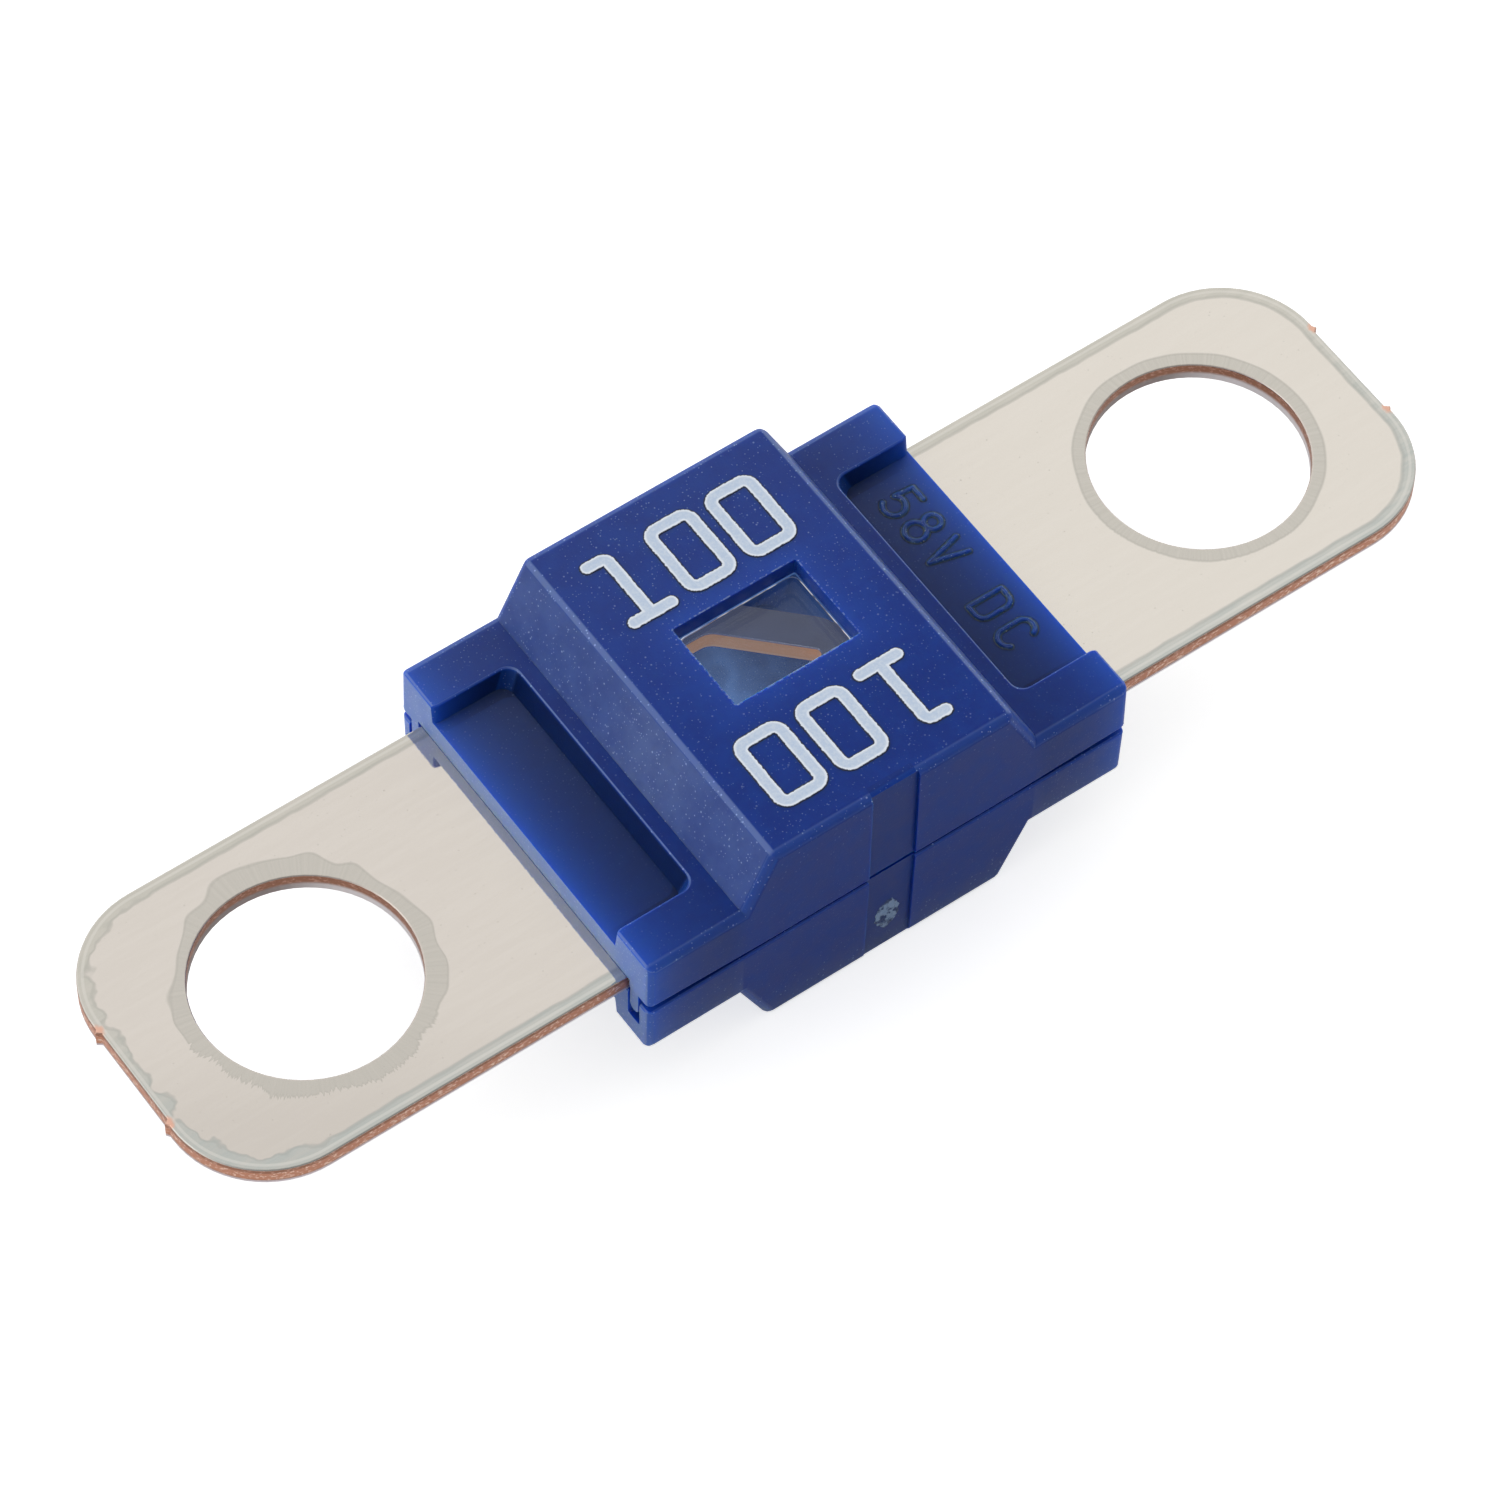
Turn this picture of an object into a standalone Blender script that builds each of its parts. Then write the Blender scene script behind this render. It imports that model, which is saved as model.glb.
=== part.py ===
"""Bolt-down strip fuse: a stamped strip with two bolting holes, clamped in a two-part moulded housing.

Frame: X along the strip, Y across it, Z up. The origin is under the middle of the housing, on the
surface that the lower block stands on. Lengths are metres.
"""

import math

import bmesh
import bpy
from mathutils import Matrix

# Strip: one stamping with two blades and an S-shaped link between them
HOLE_SPACING = 0.0300
HOLE_DIAMETER = 0.00635
BLADE_END_REACH = 0.00545
STRIP_WIDTH = 0.0098
STRIP_THICKNESS = 0.0006
STRIP_CORNER_RADIUS = 0.0030
EDGE_ROLL_RADIUS = 0.00006
SHEAR_WIDTH = 0.0036
SHEAR_STEP = 0.00006
EAR_LENGTH = 0.00008
EAR_WIDTH = 0.00022
BLADE_OVERHANG = 0.00015
BLADE_TIP_RADIUS = 0.0005
BAR_INSET = 0.0010
LINK_WIDTH = 0.0011
NECK_WIDTH = 0.0008
BEND_GAP = 0.00053
BEND_RADIUS = 0.00115
SLIT_TIP_RADIUS = 0.00015
SLIT_ROOT_RADIUS = 0.0002
LINK_SHOULDER_RADIUS = 0.0006

# Pegs that keep the strip from sliding out lengthwise
PEG_DIAMETER = 0.0012
PEG_SPACING = 0.0126
PEG_RISE = 0.00035
PEG_CLEARANCE = 0.00008

# Housing, measured from the parting plane outwards and the same for both shells
WING_REACH = 0.0031
CAVITY_LENGTH = 0.0078
CAVITY_WIDTH = 0.0092
CAVITY_HEIGHT = 0.00285
CAVITY_CORNER_RADIUS = 0.0005
END_WALL = 0.0010
SLOPE_RUN = 0.00095
TOP_WALL = 0.0012
WING_FLOOR = 0.00081
RIM_WALL = 0.000425
DRAFT_ANGLE = math.radians(0.6)

# Pockets in the wings, open at the ends of the housing
POCKET_DEPTH = 0.0007
POCKET_LAND = 0.0005
POCKET_SIDE_WALL = 0.00162
POCKET_END_LEAN = 0.00024
POCKET_SIDE_LEAN = 0.00008
POCKET_CORNER_RADIUS = 0.0004
POCKET_MOUTH_RADIUS = 0.00025
POCKET_MOUTH_FLARE = 0.0006
POCKET_RIM_RADIUS = 0.00008

# Window and the clear pane behind it
WINDOW_LENGTH = 0.00408
WINDOW_WIDTH = 0.00297
WINDOW_SHIFT_X = 0.00006
WINDOW_SHIFT_Y = 0.00012
WINDOW_CORNER_RADIUS = 0.00006
PANE_DEPTH = 0.00052
PANE_CORNER_RADIUS = 0.0003
PANE_EDGE_RADIUS = 0.0001
PANE_FLANGE = 0.0006
PANE_FLANGE_THICKNESS = 0.00045

# Parting line: tongues of the upper shell stand in grooves of the lower shell
STRIP_ABOVE_PARTING = 0.00049
TONGUE_THICKNESS = 0.00037
TONGUE_DROP = 0.00078
GROOVE_DEPTH = 0.00118
TONGUE_SETBACK = 0.00003
UPPER_RIM_GAP = 0.00005
UPPER_RIM_LIFT = 0.00012
LOWER_RIM_GAP = 0.00008
LOWER_RIM_LIFT = 0.00005

# Recess in the side that holds the moulding gate
GATE_BAND_WIDTH = 0.00155
GATE_BAND_SHIFT = 0.00005
GATE_BAND_DEPTH = 0.0001

# Rounded edges of the shells
SIDE_EDGE_RADIUS = 0.0003
RIDGE_EDGE_RADIUS = 0.00017
END_EDGE_RADIUS = 0.00012
CORNER_EDGE_RADIUS = 0.00024
RIM_EDGE_RADIUS = 0.00009

# Clearances
FACE_CLEARANCE = 0.00003
STRIP_SIDE_CLEARANCE = 0.00013
TONGUE_INNER_CLEARANCE = 0.00008
TONGUE_OUTER_CLEARANCE = 0.0001
PANE_CLEARANCE = 0.00004

CUTTER_MARGIN = 0.0005
ROOT_OVERLAP = 0.0003
SAME_PLACE = 0.00002
FULL_SIDE = 0.98
SHARP_ANGLE = math.radians(32)
ARC_ERROR = 0.000004
FEWEST_ARC_STEPS = 3
FILLET_STEPS = 4
ROLL_STEPS = 3

# Finishes
HOUSING_BLUE = (0.020, 0.050, 0.250)
HOUSING_ROUGHNESS = 0.42
TIN_COLOR = (0.78, 0.75, 0.71)
TIN_ROUGHNESS = 0.22
PANE_TINT = (0.92, 0.95, 1.0)
PANE_ROUGHNESS = 0.06

# Levels above and below the parting plane
strip_top = STRIP_ABOVE_PARTING
strip_bottom = strip_top - STRIP_THICKNESS
slot_roof = strip_top + FACE_CLEARANCE
seat_level = strip_bottom - FACE_CLEARANCE
wing_height = slot_roof + WING_FLOOR + POCKET_DEPTH
shell_height = CAVITY_HEIGHT + TOP_WALL
pocket_floor = wing_height - POCKET_DEPTH

# Widths across the strip, counted from the middle
strip_half_width = STRIP_WIDTH / 2
tongue_inner = strip_half_width + STRIP_SIDE_CLEARANCE
tongue_outer = tongue_inner + TONGUE_THICKNESS
groove_inner = tongue_inner - TONGUE_INNER_CLEARANCE
groove_outer = tongue_outer + TONGUE_OUTER_CLEARANCE
housing_half_width = groove_outer + RIM_WALL
pocket_half_width = housing_half_width - POCKET_SIDE_WALL

# Lengths along the strip, counted from the middle
cavity_half_length = CAVITY_LENGTH / 2
block_foot = cavity_half_length + END_WALL
block_top = block_foot - SLOPE_RUN
housing_half_length = block_foot + WING_REACH
pocket_inner = block_foot + POCKET_LAND
blade_tip = cavity_half_length - BLADE_OVERHANG


def material(name, color, roughness, metallic=0.0, transmission=0.0):
    """One Principled material for one sub-part."""
    made = bpy.data.materials.new(name)
    made.use_nodes = True
    shader = made.node_tree.nodes["Principled BSDF"]
    shader.inputs["Base Color"].default_value = (*color, 1.0)
    shader.inputs["Roughness"].default_value = roughness
    shader.inputs["Metallic"].default_value = metallic
    shader.inputs["Transmission Weight"].default_value = transmission
    return made


def add_object(name, mesh_data, finish=None):
    """Link a bmesh as a named object; without a finish it is a cutter or a tool."""
    bmesh.ops.recalc_face_normals(mesh_data, faces=mesh_data.faces)
    mesh = bpy.data.meshes.new(name)
    mesh_data.to_mesh(mesh)
    mesh_data.free()
    mesh.shade_smooth()
    mesh.set_sharp_from_angle(angle=SHARP_ANGLE)
    made = bpy.data.objects.new(name, mesh)
    bpy.context.collection.objects.link(made)
    if finish is None:
        made.hide_render = True
        made.display_type = "WIRE"
    else:
        mesh.materials.append(finish)
    return made


def combine(target, tool, operation):
    """Put a Boolean of the tool on the target and park the tool under it."""
    modifier = target.modifiers.new(tool.name, "BOOLEAN")
    modifier.operation = operation
    modifier.solver = "EXACT"
    modifier.object = tool
    tool.parent = target


def even_shading(piece):
    """Let the large flat faces set the shading, so that the rounded edges blend into them."""
    shading = piece.modifiers.new("even_shading", "WEIGHTED_NORMAL")
    shading.keep_sharp = True


def arc_steps(radius, turn):
    """Number of chords for an arc of this radius and angle."""
    widest = 2 * math.acos(1 - min(ARC_ERROR / radius, 0.5))
    return max(FEWEST_ARC_STEPS, math.ceil(abs(turn) / widest))


def arc(center, radius, start, end, steps=None):
    """Points of a circular arc, both ends included.

    Unless the steps are given, there are as many as keep the chords within ARC_ERROR of the arc.
    """
    if steps is None:
        steps = arc_steps(radius, end - start)
    points = []
    for index in range(steps + 1):
        angle = start + (end - start) * index / steps
        points.append((center[0] + radius * math.cos(angle), center[1] + radius * math.sin(angle)))
    return points


def corner_sides(corners, index):
    """Unit vectors and lengths of the two sides at a corner, and half the angle between them."""
    x, y, _ = corners[index]
    before = corners[index - 1]
    after = corners[(index + 1) % len(corners)]
    back = math.hypot(before[0] - x, before[1] - y)
    ahead = math.hypot(after[0] - x, after[1] - y)
    to_back = ((before[0] - x) / back, (before[1] - y) / back)
    to_ahead = ((after[0] - x) / ahead, (after[1] - y) / ahead)
    cosine = to_back[0] * to_ahead[0] + to_back[1] * to_ahead[1]
    return to_back, to_ahead, ahead, math.acos(max(-1.0, min(1.0, cosine))) / 2


def arc_reaches(corners):
    """How far each corner's arc reaches along its sides, shortened where two arcs would meet."""
    sides = [corner_sides(corners, index) for index in range(len(corners))]
    wanted = [radius / math.tan(side[3]) for (_, _, radius), side in zip(corners, sides)]
    reaches = list(wanted)
    for index, (_, _, length, _) in enumerate(sides):
        following = (index + 1) % len(corners)
        total = wanted[index] + wanted[following]
        if total > length * FULL_SIDE:
            share = length * FULL_SIDE / total
            reaches[index] = min(reaches[index], wanted[index] * share)
            reaches[following] = min(reaches[following], wanted[following] * share)
    return reaches


def rounded(corners):
    """Outline through (x, y, radius) corners, each rounded by an arc tangent to its two sides."""
    outline = []
    for index, reach in enumerate(arc_reaches(corners)):
        x, y, radius = corners[index]
        if radius <= 0:
            outline.append((x, y))
            continue
        to_back, to_ahead, _, half_angle = corner_sides(corners, index)
        true_radius = reach * math.tan(half_angle)
        middle = (to_back[0] + to_ahead[0], to_back[1] + to_ahead[1])
        scale = true_radius / math.sin(half_angle) / math.hypot(*middle)
        center = (x + middle[0] * scale, y + middle[1] * scale)
        first = math.atan2(y + to_back[1] * reach - center[1], x + to_back[0] * reach - center[0])
        last = math.atan2(y + to_ahead[1] * reach - center[1], x + to_ahead[0] * reach - center[0])
        turn = (last - first + math.pi) % (2 * math.pi) - math.pi
        outline.extend(arc(center, true_radius, first, first + turn, arc_steps(radius, turn)))
    return outline


def rounded_rectangle(half_length, half_width, radius, center=(0.0, 0.0)):
    """Rounded rectangle outline around a centre."""
    signs = ((-1, -1), (1, -1), (1, 1), (-1, 1))
    corners = [(center[0] + sx * half_length, center[1] + sy * half_width, radius) for sx, sy in signs]
    return rounded(corners)


def loft(sections):
    """Closed solid through (outline, height) sections that have the same number of points."""
    mesh_data = bmesh.new()
    rings = []
    for outline, height in sections:
        rings.append([mesh_data.verts.new((x, y, height)) for x, y in outline])
    for lower, upper in zip(rings, rings[1:]):
        for index, vertex in enumerate(lower):
            following = (index + 1) % len(lower)
            mesh_data.faces.new((vertex, lower[following], upper[following], upper[index]))
    mesh_data.faces.new(list(reversed(rings[0])))
    mesh_data.faces.new(rings[-1])
    return mesh_data


def lengthwise_prism(profile, half_length):
    """Closed solid with a (y, z) profile carried along X."""
    mesh_data = loft([(profile, -half_length), (profile, half_length)])
    turn = Matrix(((0, 0, 1, 0), (1, 0, 0, 0), (0, 1, 0, 0), (0, 0, 0, 1)))
    bmesh.ops.transform(mesh_data, matrix=turn, verts=mesh_data.verts)
    return mesh_data


def inset(outline, distance):
    """Counter-clockwise outline moved inwards by a distance, with mitred corners."""
    moved = []
    count = len(outline)
    for index, (x, y) in enumerate(outline):
        before = outline[index - 1]
        after = outline[(index + 1) % count]
        back = math.hypot(x - before[0], y - before[1])
        ahead = math.hypot(after[0] - x, after[1] - y)
        first = ((before[1] - y) / back, (x - before[0]) / back)
        second = ((y - after[1]) / ahead, (after[0] - x) / ahead)
        stretch = distance / (1 + first[0] * second[0] + first[1] * second[1])
        moved.append((x + (first[0] + second[0]) * stretch, y + (first[1] + second[1]) * stretch))
    return moved


def roll_steps(radius):
    """Sideways and upward distances from the start to the end of a quarter-round edge."""
    steps = []
    for index in range(ROLL_STEPS + 1):
        angle = math.pi / 2 * index / ROLL_STEPS
        steps.append((radius * (1 - math.cos(angle)), radius * math.sin(angle)))
    return steps


def half_width_at(height):
    """Half width of the housing at a height over the parting plane, narrowing with the draft."""
    return housing_half_width - height * math.tan(DRAFT_ANGLE)


def half_length_at(height):
    """Half length of a wing at a height over the parting plane, narrowing with the draft."""
    return housing_half_length - height * math.tan(DRAFT_ANGLE)


def edge_radius(start, end, rim_top):
    """Radius for one edge of the plain shell, from where it runs."""
    along_x = abs(start.y - end.y) < abs(start.x - end.x) and start.y * end.y > 0
    across = abs(start.x - end.x) < SAME_PLACE and start.y * end.y < 0
    at_rim = max(start.z, end.z) < rim_top
    at_end = min(abs(start.x), abs(end.x)) > block_foot + SAME_PLACE
    if at_rim:
        return RIM_EDGE_RADIUS if along_x or at_end else 0.0
    if across:
        if at_end:
            return END_EDGE_RADIUS
        return RIDGE_EDGE_RADIUS if min(start.z, end.z) > wing_height + SAME_PLACE else 0.0
    if at_end and min(start.z, end.z) < rim_top:
        return CORNER_EDGE_RADIUS
    return SIDE_EDGE_RADIUS


def shell_body(name, rim_gap, rim_lift, finish):
    """Plain outer form of a shell: raised block between two wings, with its edges rounded.

    The rim is level under the block and lifts away from the parting plane towards both ends.
    """
    rim_end = rim_gap + rim_lift
    profile = [
        (-half_length_at(rim_end), rim_end),
        (-block_top, rim_gap),
        (block_top, rim_gap),
        (half_length_at(rim_end), rim_end),
        (half_length_at(wing_height), wing_height),
        (block_foot, wing_height),
        (block_top, shell_height),
        (-block_top, shell_height),
        (-block_foot, wing_height),
        (-half_length_at(wing_height), wing_height),
    ]
    mesh_data = bmesh.new()
    front = [mesh_data.verts.new((x, -half_width_at(z), z)) for x, z in profile]
    back = [mesh_data.verts.new((x, half_width_at(z), z)) for x, z in profile]
    mesh_data.faces.new(front)
    mesh_data.faces.new(list(reversed(back)))
    for index, vertex in enumerate(front):
        following = (index + 1) % len(front)
        mesh_data.faces.new((vertex, back[index], back[following], front[following]))
    weights = mesh_data.edges.layers.float.new("bevel_weight_edge")
    widest = max(SIDE_EDGE_RADIUS, RIDGE_EDGE_RADIUS, END_EDGE_RADIUS, CORNER_EDGE_RADIUS, RIM_EDGE_RADIUS)
    for edge in mesh_data.edges:
        start, end = (vertex.co for vertex in edge.verts)
        edge[weights] = edge_radius(start, end, rim_end + SAME_PLACE) / widest
    shell = add_object(name, mesh_data, finish)
    rounding = shell.modifiers.new("rounded_edges", "BEVEL")
    rounding.limit_method = "WEIGHT"
    rounding.width = widest
    rounding.segments = FILLET_STEPS
    return shell


def pocket_outline(inner, half_width, side):
    """Outline of a wing pocket: rounded inner corners and a mouth that flares at the end face."""
    mouth = housing_half_length + SAME_PLACE
    outside = housing_half_length + CUTTER_MARGIN
    flare = half_width + POCKET_MOUTH_FLARE
    near = [(outside, flare, 0.0), (mouth, flare, 0.0), (mouth, half_width, POCKET_MOUTH_RADIUS),
            (inner, half_width, POCKET_CORNER_RADIUS)]
    far = [(x, -y, radius) for x, y, radius in reversed(near)]
    return [(side * x, y) for x, y in rounded(near + far)]


def pocket_cutter(name, side):
    """Wing pocket with leaning walls and a rounded rim."""
    floor = pocket_outline(pocket_inner + POCKET_END_LEAN, pocket_half_width - POCKET_SIDE_LEAN, side)
    sections = [(floor, pocket_floor)]
    for spread, rise in roll_steps(POCKET_RIM_RADIUS):
        outline = pocket_outline(pocket_inner - spread, pocket_half_width + spread, side)
        sections.append((outline, wing_height - POCKET_RIM_RADIUS + rise))
    wide = POCKET_RIM_RADIUS + SAME_PLACE
    top = pocket_outline(pocket_inner - wide, pocket_half_width + wide, side)
    sections.append((top, wing_height + CUTTER_MARGIN))
    return add_object(name, loft(sections))


def cavity_cutter(name, mouth):
    """Hollow for the link: its end walls follow the slopes of the block outside."""
    knee = min(wing_height, CAVITY_HEIGHT - SAME_PLACE)
    slope = SLOPE_RUN / (shell_height - wing_height)
    ceiling_half_length = cavity_half_length - slope * (CAVITY_HEIGHT - knee)
    half_width = CAVITY_WIDTH / 2
    lower = rounded_rectangle(cavity_half_length, half_width, CAVITY_CORNER_RADIUS)
    upper = rounded_rectangle(ceiling_half_length, half_width, CAVITY_CORNER_RADIUS)
    return add_object(name, loft([(lower, mouth), (lower, knee), (upper, CAVITY_HEIGHT)]))


def gate_band_cutter(name, front):
    """Shallow upright recess in one long side; front is -1 for the -Y side of the shell."""
    left = GATE_BAND_SHIFT - GATE_BAND_WIDTH / 2
    right = GATE_BAND_SHIFT + GATE_BAND_WIDTH / 2
    sections = []
    for height in (-CUTTER_MARGIN, shell_height + CUTTER_MARGIN):
        inner = front * (half_width_at(height) - GATE_BAND_DEPTH)
        outer = front * (housing_half_width + CUTTER_MARGIN)
        sections.append(([(left, inner), (right, inner), (right, outer), (left, outer)], height))
    return add_object(name, loft(sections))


def box_cutter(name, half_length, half_width, low, high):
    """Plain cutter that is centred over the origin."""
    outline = [(-half_length, -half_width), (half_length, -half_width),
               (half_length, half_width), (-half_length, half_width)]
    return add_object(name, loft([(outline, low), (outline, high)]))


def round_tool(name, diameter, center_x, low, high):
    """Upright cylinder on the strip's middle line."""
    outline = arc((center_x, 0.0), diameter / 2, 0.0, 2 * math.pi)[:-1]
    return add_object(name, loft([(outline, low), (outline, high)]))


def tongue_tool(name, side):
    """Rib with a rounded tip along one long side of the upper shell."""
    tip = TONGUE_THICKNESS / 2
    middle = side * (tongue_inner + tip)
    profile = arc((middle, -TONGUE_DROP + tip), tip, math.pi, 2 * math.pi, 2 * FILLET_STEPS)
    top = UPPER_RIM_GAP + UPPER_RIM_LIFT + ROOT_OVERLAP
    profile += [(middle + tip, top), (middle - tip, top)]
    return add_object(name, lengthwise_prism(profile, housing_half_length - TONGUE_SETBACK))


def groove_cutter(name, side):
    """Groove that the tongue stands in, with rounded bottom corners; heights are the lower shell's."""
    inner = side * groove_inner
    outer = side * groove_outer
    corners = [
        (inner, -CUTTER_MARGIN, 0.0),
        (outer, -CUTTER_MARGIN, 0.0),
        (outer, GROOVE_DEPTH, RIM_EDGE_RADIUS),
        (inner, GROOVE_DEPTH, RIM_EDGE_RADIUS),
    ]
    return add_object(name, lengthwise_prism(rounded(corners), housing_half_length + CUTTER_MARGIN))


def upper_shell(finish):
    """Upper shell: tongues, window with a seat for the pane, and the roof of the strip's slot."""
    shell = shell_body("upper_shell", UPPER_RIM_GAP, UPPER_RIM_LIFT, finish)
    for side in (-1, 1):
        combine(shell, tongue_tool(f"upper_tongue_{side}", side), "UNION")
    for side in (-1, 1):
        combine(shell, pocket_cutter(f"upper_pocket_{side}", side), "DIFFERENCE")
    reach = housing_half_length + CUTTER_MARGIN
    combine(shell, box_cutter("upper_slot", reach, tongue_inner, -shell_height, slot_roof), "DIFFERENCE")
    combine(shell, cavity_cutter("upper_cavity", slot_roof - CUTTER_MARGIN), "DIFFERENCE")
    combine(shell, gate_band_cutter("upper_gate_band", -1), "DIFFERENCE")
    center = (WINDOW_SHIFT_X, WINDOW_SHIFT_Y)
    opening = rounded_rectangle(WINDOW_LENGTH / 2, WINDOW_WIDTH / 2, WINDOW_CORNER_RADIUS, center)
    through = loft([(opening, CAVITY_HEIGHT - CUTTER_MARGIN), (opening, shell_height + CUTTER_MARGIN)])
    combine(shell, add_object("upper_window", through), "DIFFERENCE")
    seat_reach = PANE_FLANGE + PANE_CLEARANCE
    seat = rounded_rectangle(WINDOW_LENGTH / 2 + seat_reach, WINDOW_WIDTH / 2 + seat_reach,
                             PANE_CORNER_RADIUS, center)
    seat_top = CAVITY_HEIGHT + PANE_FLANGE_THICKNESS + 2 * FACE_CLEARANCE
    pane_seat = loft([(seat, CAVITY_HEIGHT - CUTTER_MARGIN), (seat, seat_top)])
    combine(shell, add_object("upper_pane_seat", pane_seat), "DIFFERENCE")
    for side in (-1, 1):
        bore = round_tool(f"upper_peg_hole_{side}", PEG_DIAMETER + 2 * PEG_CLEARANCE,
                          side * PEG_SPACING / 2, slot_roof - CUTTER_MARGIN,
                          strip_top + PEG_RISE + PEG_CLEARANCE)
        combine(shell, bore, "DIFFERENCE")
    even_shading(shell)
    return shell


def lower_shell(finish):
    """Lower shell, made upside down like the upper one: grooves, the strip's seat and two pegs."""
    shell = shell_body("lower_shell", LOWER_RIM_GAP, LOWER_RIM_LIFT, finish)
    for side in (-1, 1):
        combine(shell, pocket_cutter(f"lower_pocket_{side}", side), "DIFFERENCE")
        combine(shell, groove_cutter(f"lower_groove_{side}", side), "DIFFERENCE")
    reach = housing_half_length + CUTTER_MARGIN
    middle = (groove_inner + groove_outer) / 2
    combine(shell, box_cutter("lower_seat", reach, middle, -shell_height, -seat_level), "DIFFERENCE")
    combine(shell, cavity_cutter("lower_cavity", -seat_level - CUTTER_MARGIN), "DIFFERENCE")
    combine(shell, gate_band_cutter("lower_gate_band", 1), "DIFFERENCE")
    for side in (-1, 1):
        peg = round_tool(f"lower_peg_{side}", PEG_DIAMETER, side * PEG_SPACING / 2,
                         -strip_top - PEG_RISE, -seat_level + ROOT_OVERLAP)
        combine(shell, peg, "UNION")
    even_shading(shell)
    return shell


def strip_outline():
    """Outline of the stamping, counter-clockwise; it maps onto itself in a half turn about Z."""
    end = HOLE_SPACING / 2 + BLADE_END_REACH
    step = end - SHEAR_STEP
    ear = end + EAR_LENGTH
    shear = SHEAR_WIDTH / 2
    bar_outer = strip_half_width - BAR_INSET
    bar_inner = bar_outer - LINK_WIDTH
    neck = NECK_WIDTH / 2
    bend_outer = blade_tip - BEND_GAP
    outer_reach = bend_outer - neck + BEND_RADIUS * math.sqrt(2)
    inner_reach = outer_reach - LINK_WIDTH * math.sqrt(2)
    half = [
        (-end, -strip_half_width, STRIP_CORNER_RADIUS),
        (-blade_tip, -strip_half_width, BLADE_TIP_RADIUS),
        (-blade_tip, bar_inner, SLIT_ROOT_RADIUS),
        (inner_reach - bar_inner, bar_inner, LINK_SHOULDER_RADIUS),
        (inner_reach - neck, neck, SLIT_TIP_RADIUS),
        (-outer_reach - neck, neck, BEND_RADIUS),
        (bar_outer - outer_reach, -bar_outer, LINK_SHOULDER_RADIUS),
        (blade_tip, -bar_outer, SLIT_ROOT_RADIUS),
        (blade_tip, -strip_half_width, BLADE_TIP_RADIUS),
        (end, -strip_half_width, STRIP_CORNER_RADIUS),
    ]
    right_end = [
        (end, -shear, 0.0),
        (ear, -shear + EAR_WIDTH / 2, 0.0),
        (step, -shear + EAR_WIDTH, 0.0),
        (step, shear - EAR_WIDTH, 0.0),
        (ear, shear - EAR_WIDTH / 2, 0.0),
        (end, shear, 0.0),
    ]
    first_half = half + right_end
    second_half = [(-x, -y, radius) for x, y, radius in first_half]
    return rounded(first_half + second_half)


def rolled_punch(name, diameter, center_x):
    """Punch for a round hole whose upper edge is rolled over like the strip's outline."""
    center = (center_x, 0.0)
    steps = arc_steps(diameter / 2, 2 * math.pi)
    rings = [(0.0, strip_bottom - CUTTER_MARGIN)]
    for spread, rise in roll_steps(EDGE_ROLL_RADIUS):
        rings.append((spread, strip_top - EDGE_ROLL_RADIUS + rise))
    rings.append((EDGE_ROLL_RADIUS + SAME_PLACE, strip_top + CUTTER_MARGIN))
    sections = []
    for spread, height in rings:
        sections.append((arc(center, diameter / 2 + spread, 0.0, 2 * math.pi, steps)[:-1], height))
    return add_object(name, loft(sections))


def fuse_strip(finish):
    """Stamped strip with its bolt holes and peg holes; the punch has rolled its upper edges."""
    outline = strip_outline()
    sections = [(outline, strip_bottom)]
    for spread, rise in roll_steps(EDGE_ROLL_RADIUS):
        sections.append((inset(outline, spread), strip_top - EDGE_ROLL_RADIUS + rise))
    strip = add_object("fuse_strip", loft(sections), finish)
    peg_hole = PEG_DIAMETER + 2 * PEG_CLEARANCE
    for side in (-1, 1):
        bolt_punch = rolled_punch(f"bolt_hole_{side}", HOLE_DIAMETER, side * HOLE_SPACING / 2)
        combine(strip, bolt_punch, "DIFFERENCE")
        peg_punch = rolled_punch(f"strip_peg_hole_{side}", peg_hole, side * PEG_SPACING / 2)
        combine(strip, peg_punch, "DIFFERENCE")
    even_shading(strip)
    return strip


def window_pane(finish):
    """Clear pane: a flange in the seat behind the window and a raised field inside the opening."""
    center = (WINDOW_SHIFT_X, WINDOW_SHIFT_Y)
    flange_low = CAVITY_HEIGHT + FACE_CLEARANCE
    flange_high = flange_low + PANE_FLANGE_THICKNESS
    edge_start = shell_height - PANE_DEPTH - PANE_EDGE_RADIUS
    flange = rounded_rectangle(WINDOW_LENGTH / 2 + PANE_FLANGE, WINDOW_WIDTH / 2 + PANE_FLANGE,
                               PANE_CORNER_RADIUS, center)
    field = rounded_rectangle(WINDOW_LENGTH / 2 - PANE_CLEARANCE, WINDOW_WIDTH / 2 - PANE_CLEARANCE,
                              PANE_CORNER_RADIUS, center)
    sections = [(flange, flange_low), (flange, flange_high), (field, flange_high)]
    for spread, rise in roll_steps(PANE_EDGE_RADIUS):
        sections.append((inset(field, spread), edge_start + rise))
    return add_object("window_pane", loft(sections), finish)


def build():
    """Make the four pieces and set them on the parting plane."""
    upper = upper_shell(material("upper_blue", HOUSING_BLUE, HOUSING_ROUGHNESS))
    lower = lower_shell(material("lower_blue", HOUSING_BLUE, HOUSING_ROUGHNESS))
    lower.rotation_euler = (math.pi, 0.0, 0.0)
    strip = fuse_strip(material("tin_plated_copper", TIN_COLOR, TIN_ROUGHNESS, metallic=1.0))
    pane = window_pane(material("clear_pane", PANE_TINT, PANE_ROUGHNESS, transmission=1.0))
    for piece in (upper, lower, strip, pane):
        piece.location = (0.0, 0.0, shell_height)


for existing in list(bpy.data.objects):
    bpy.data.objects.remove(existing)
build()
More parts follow.
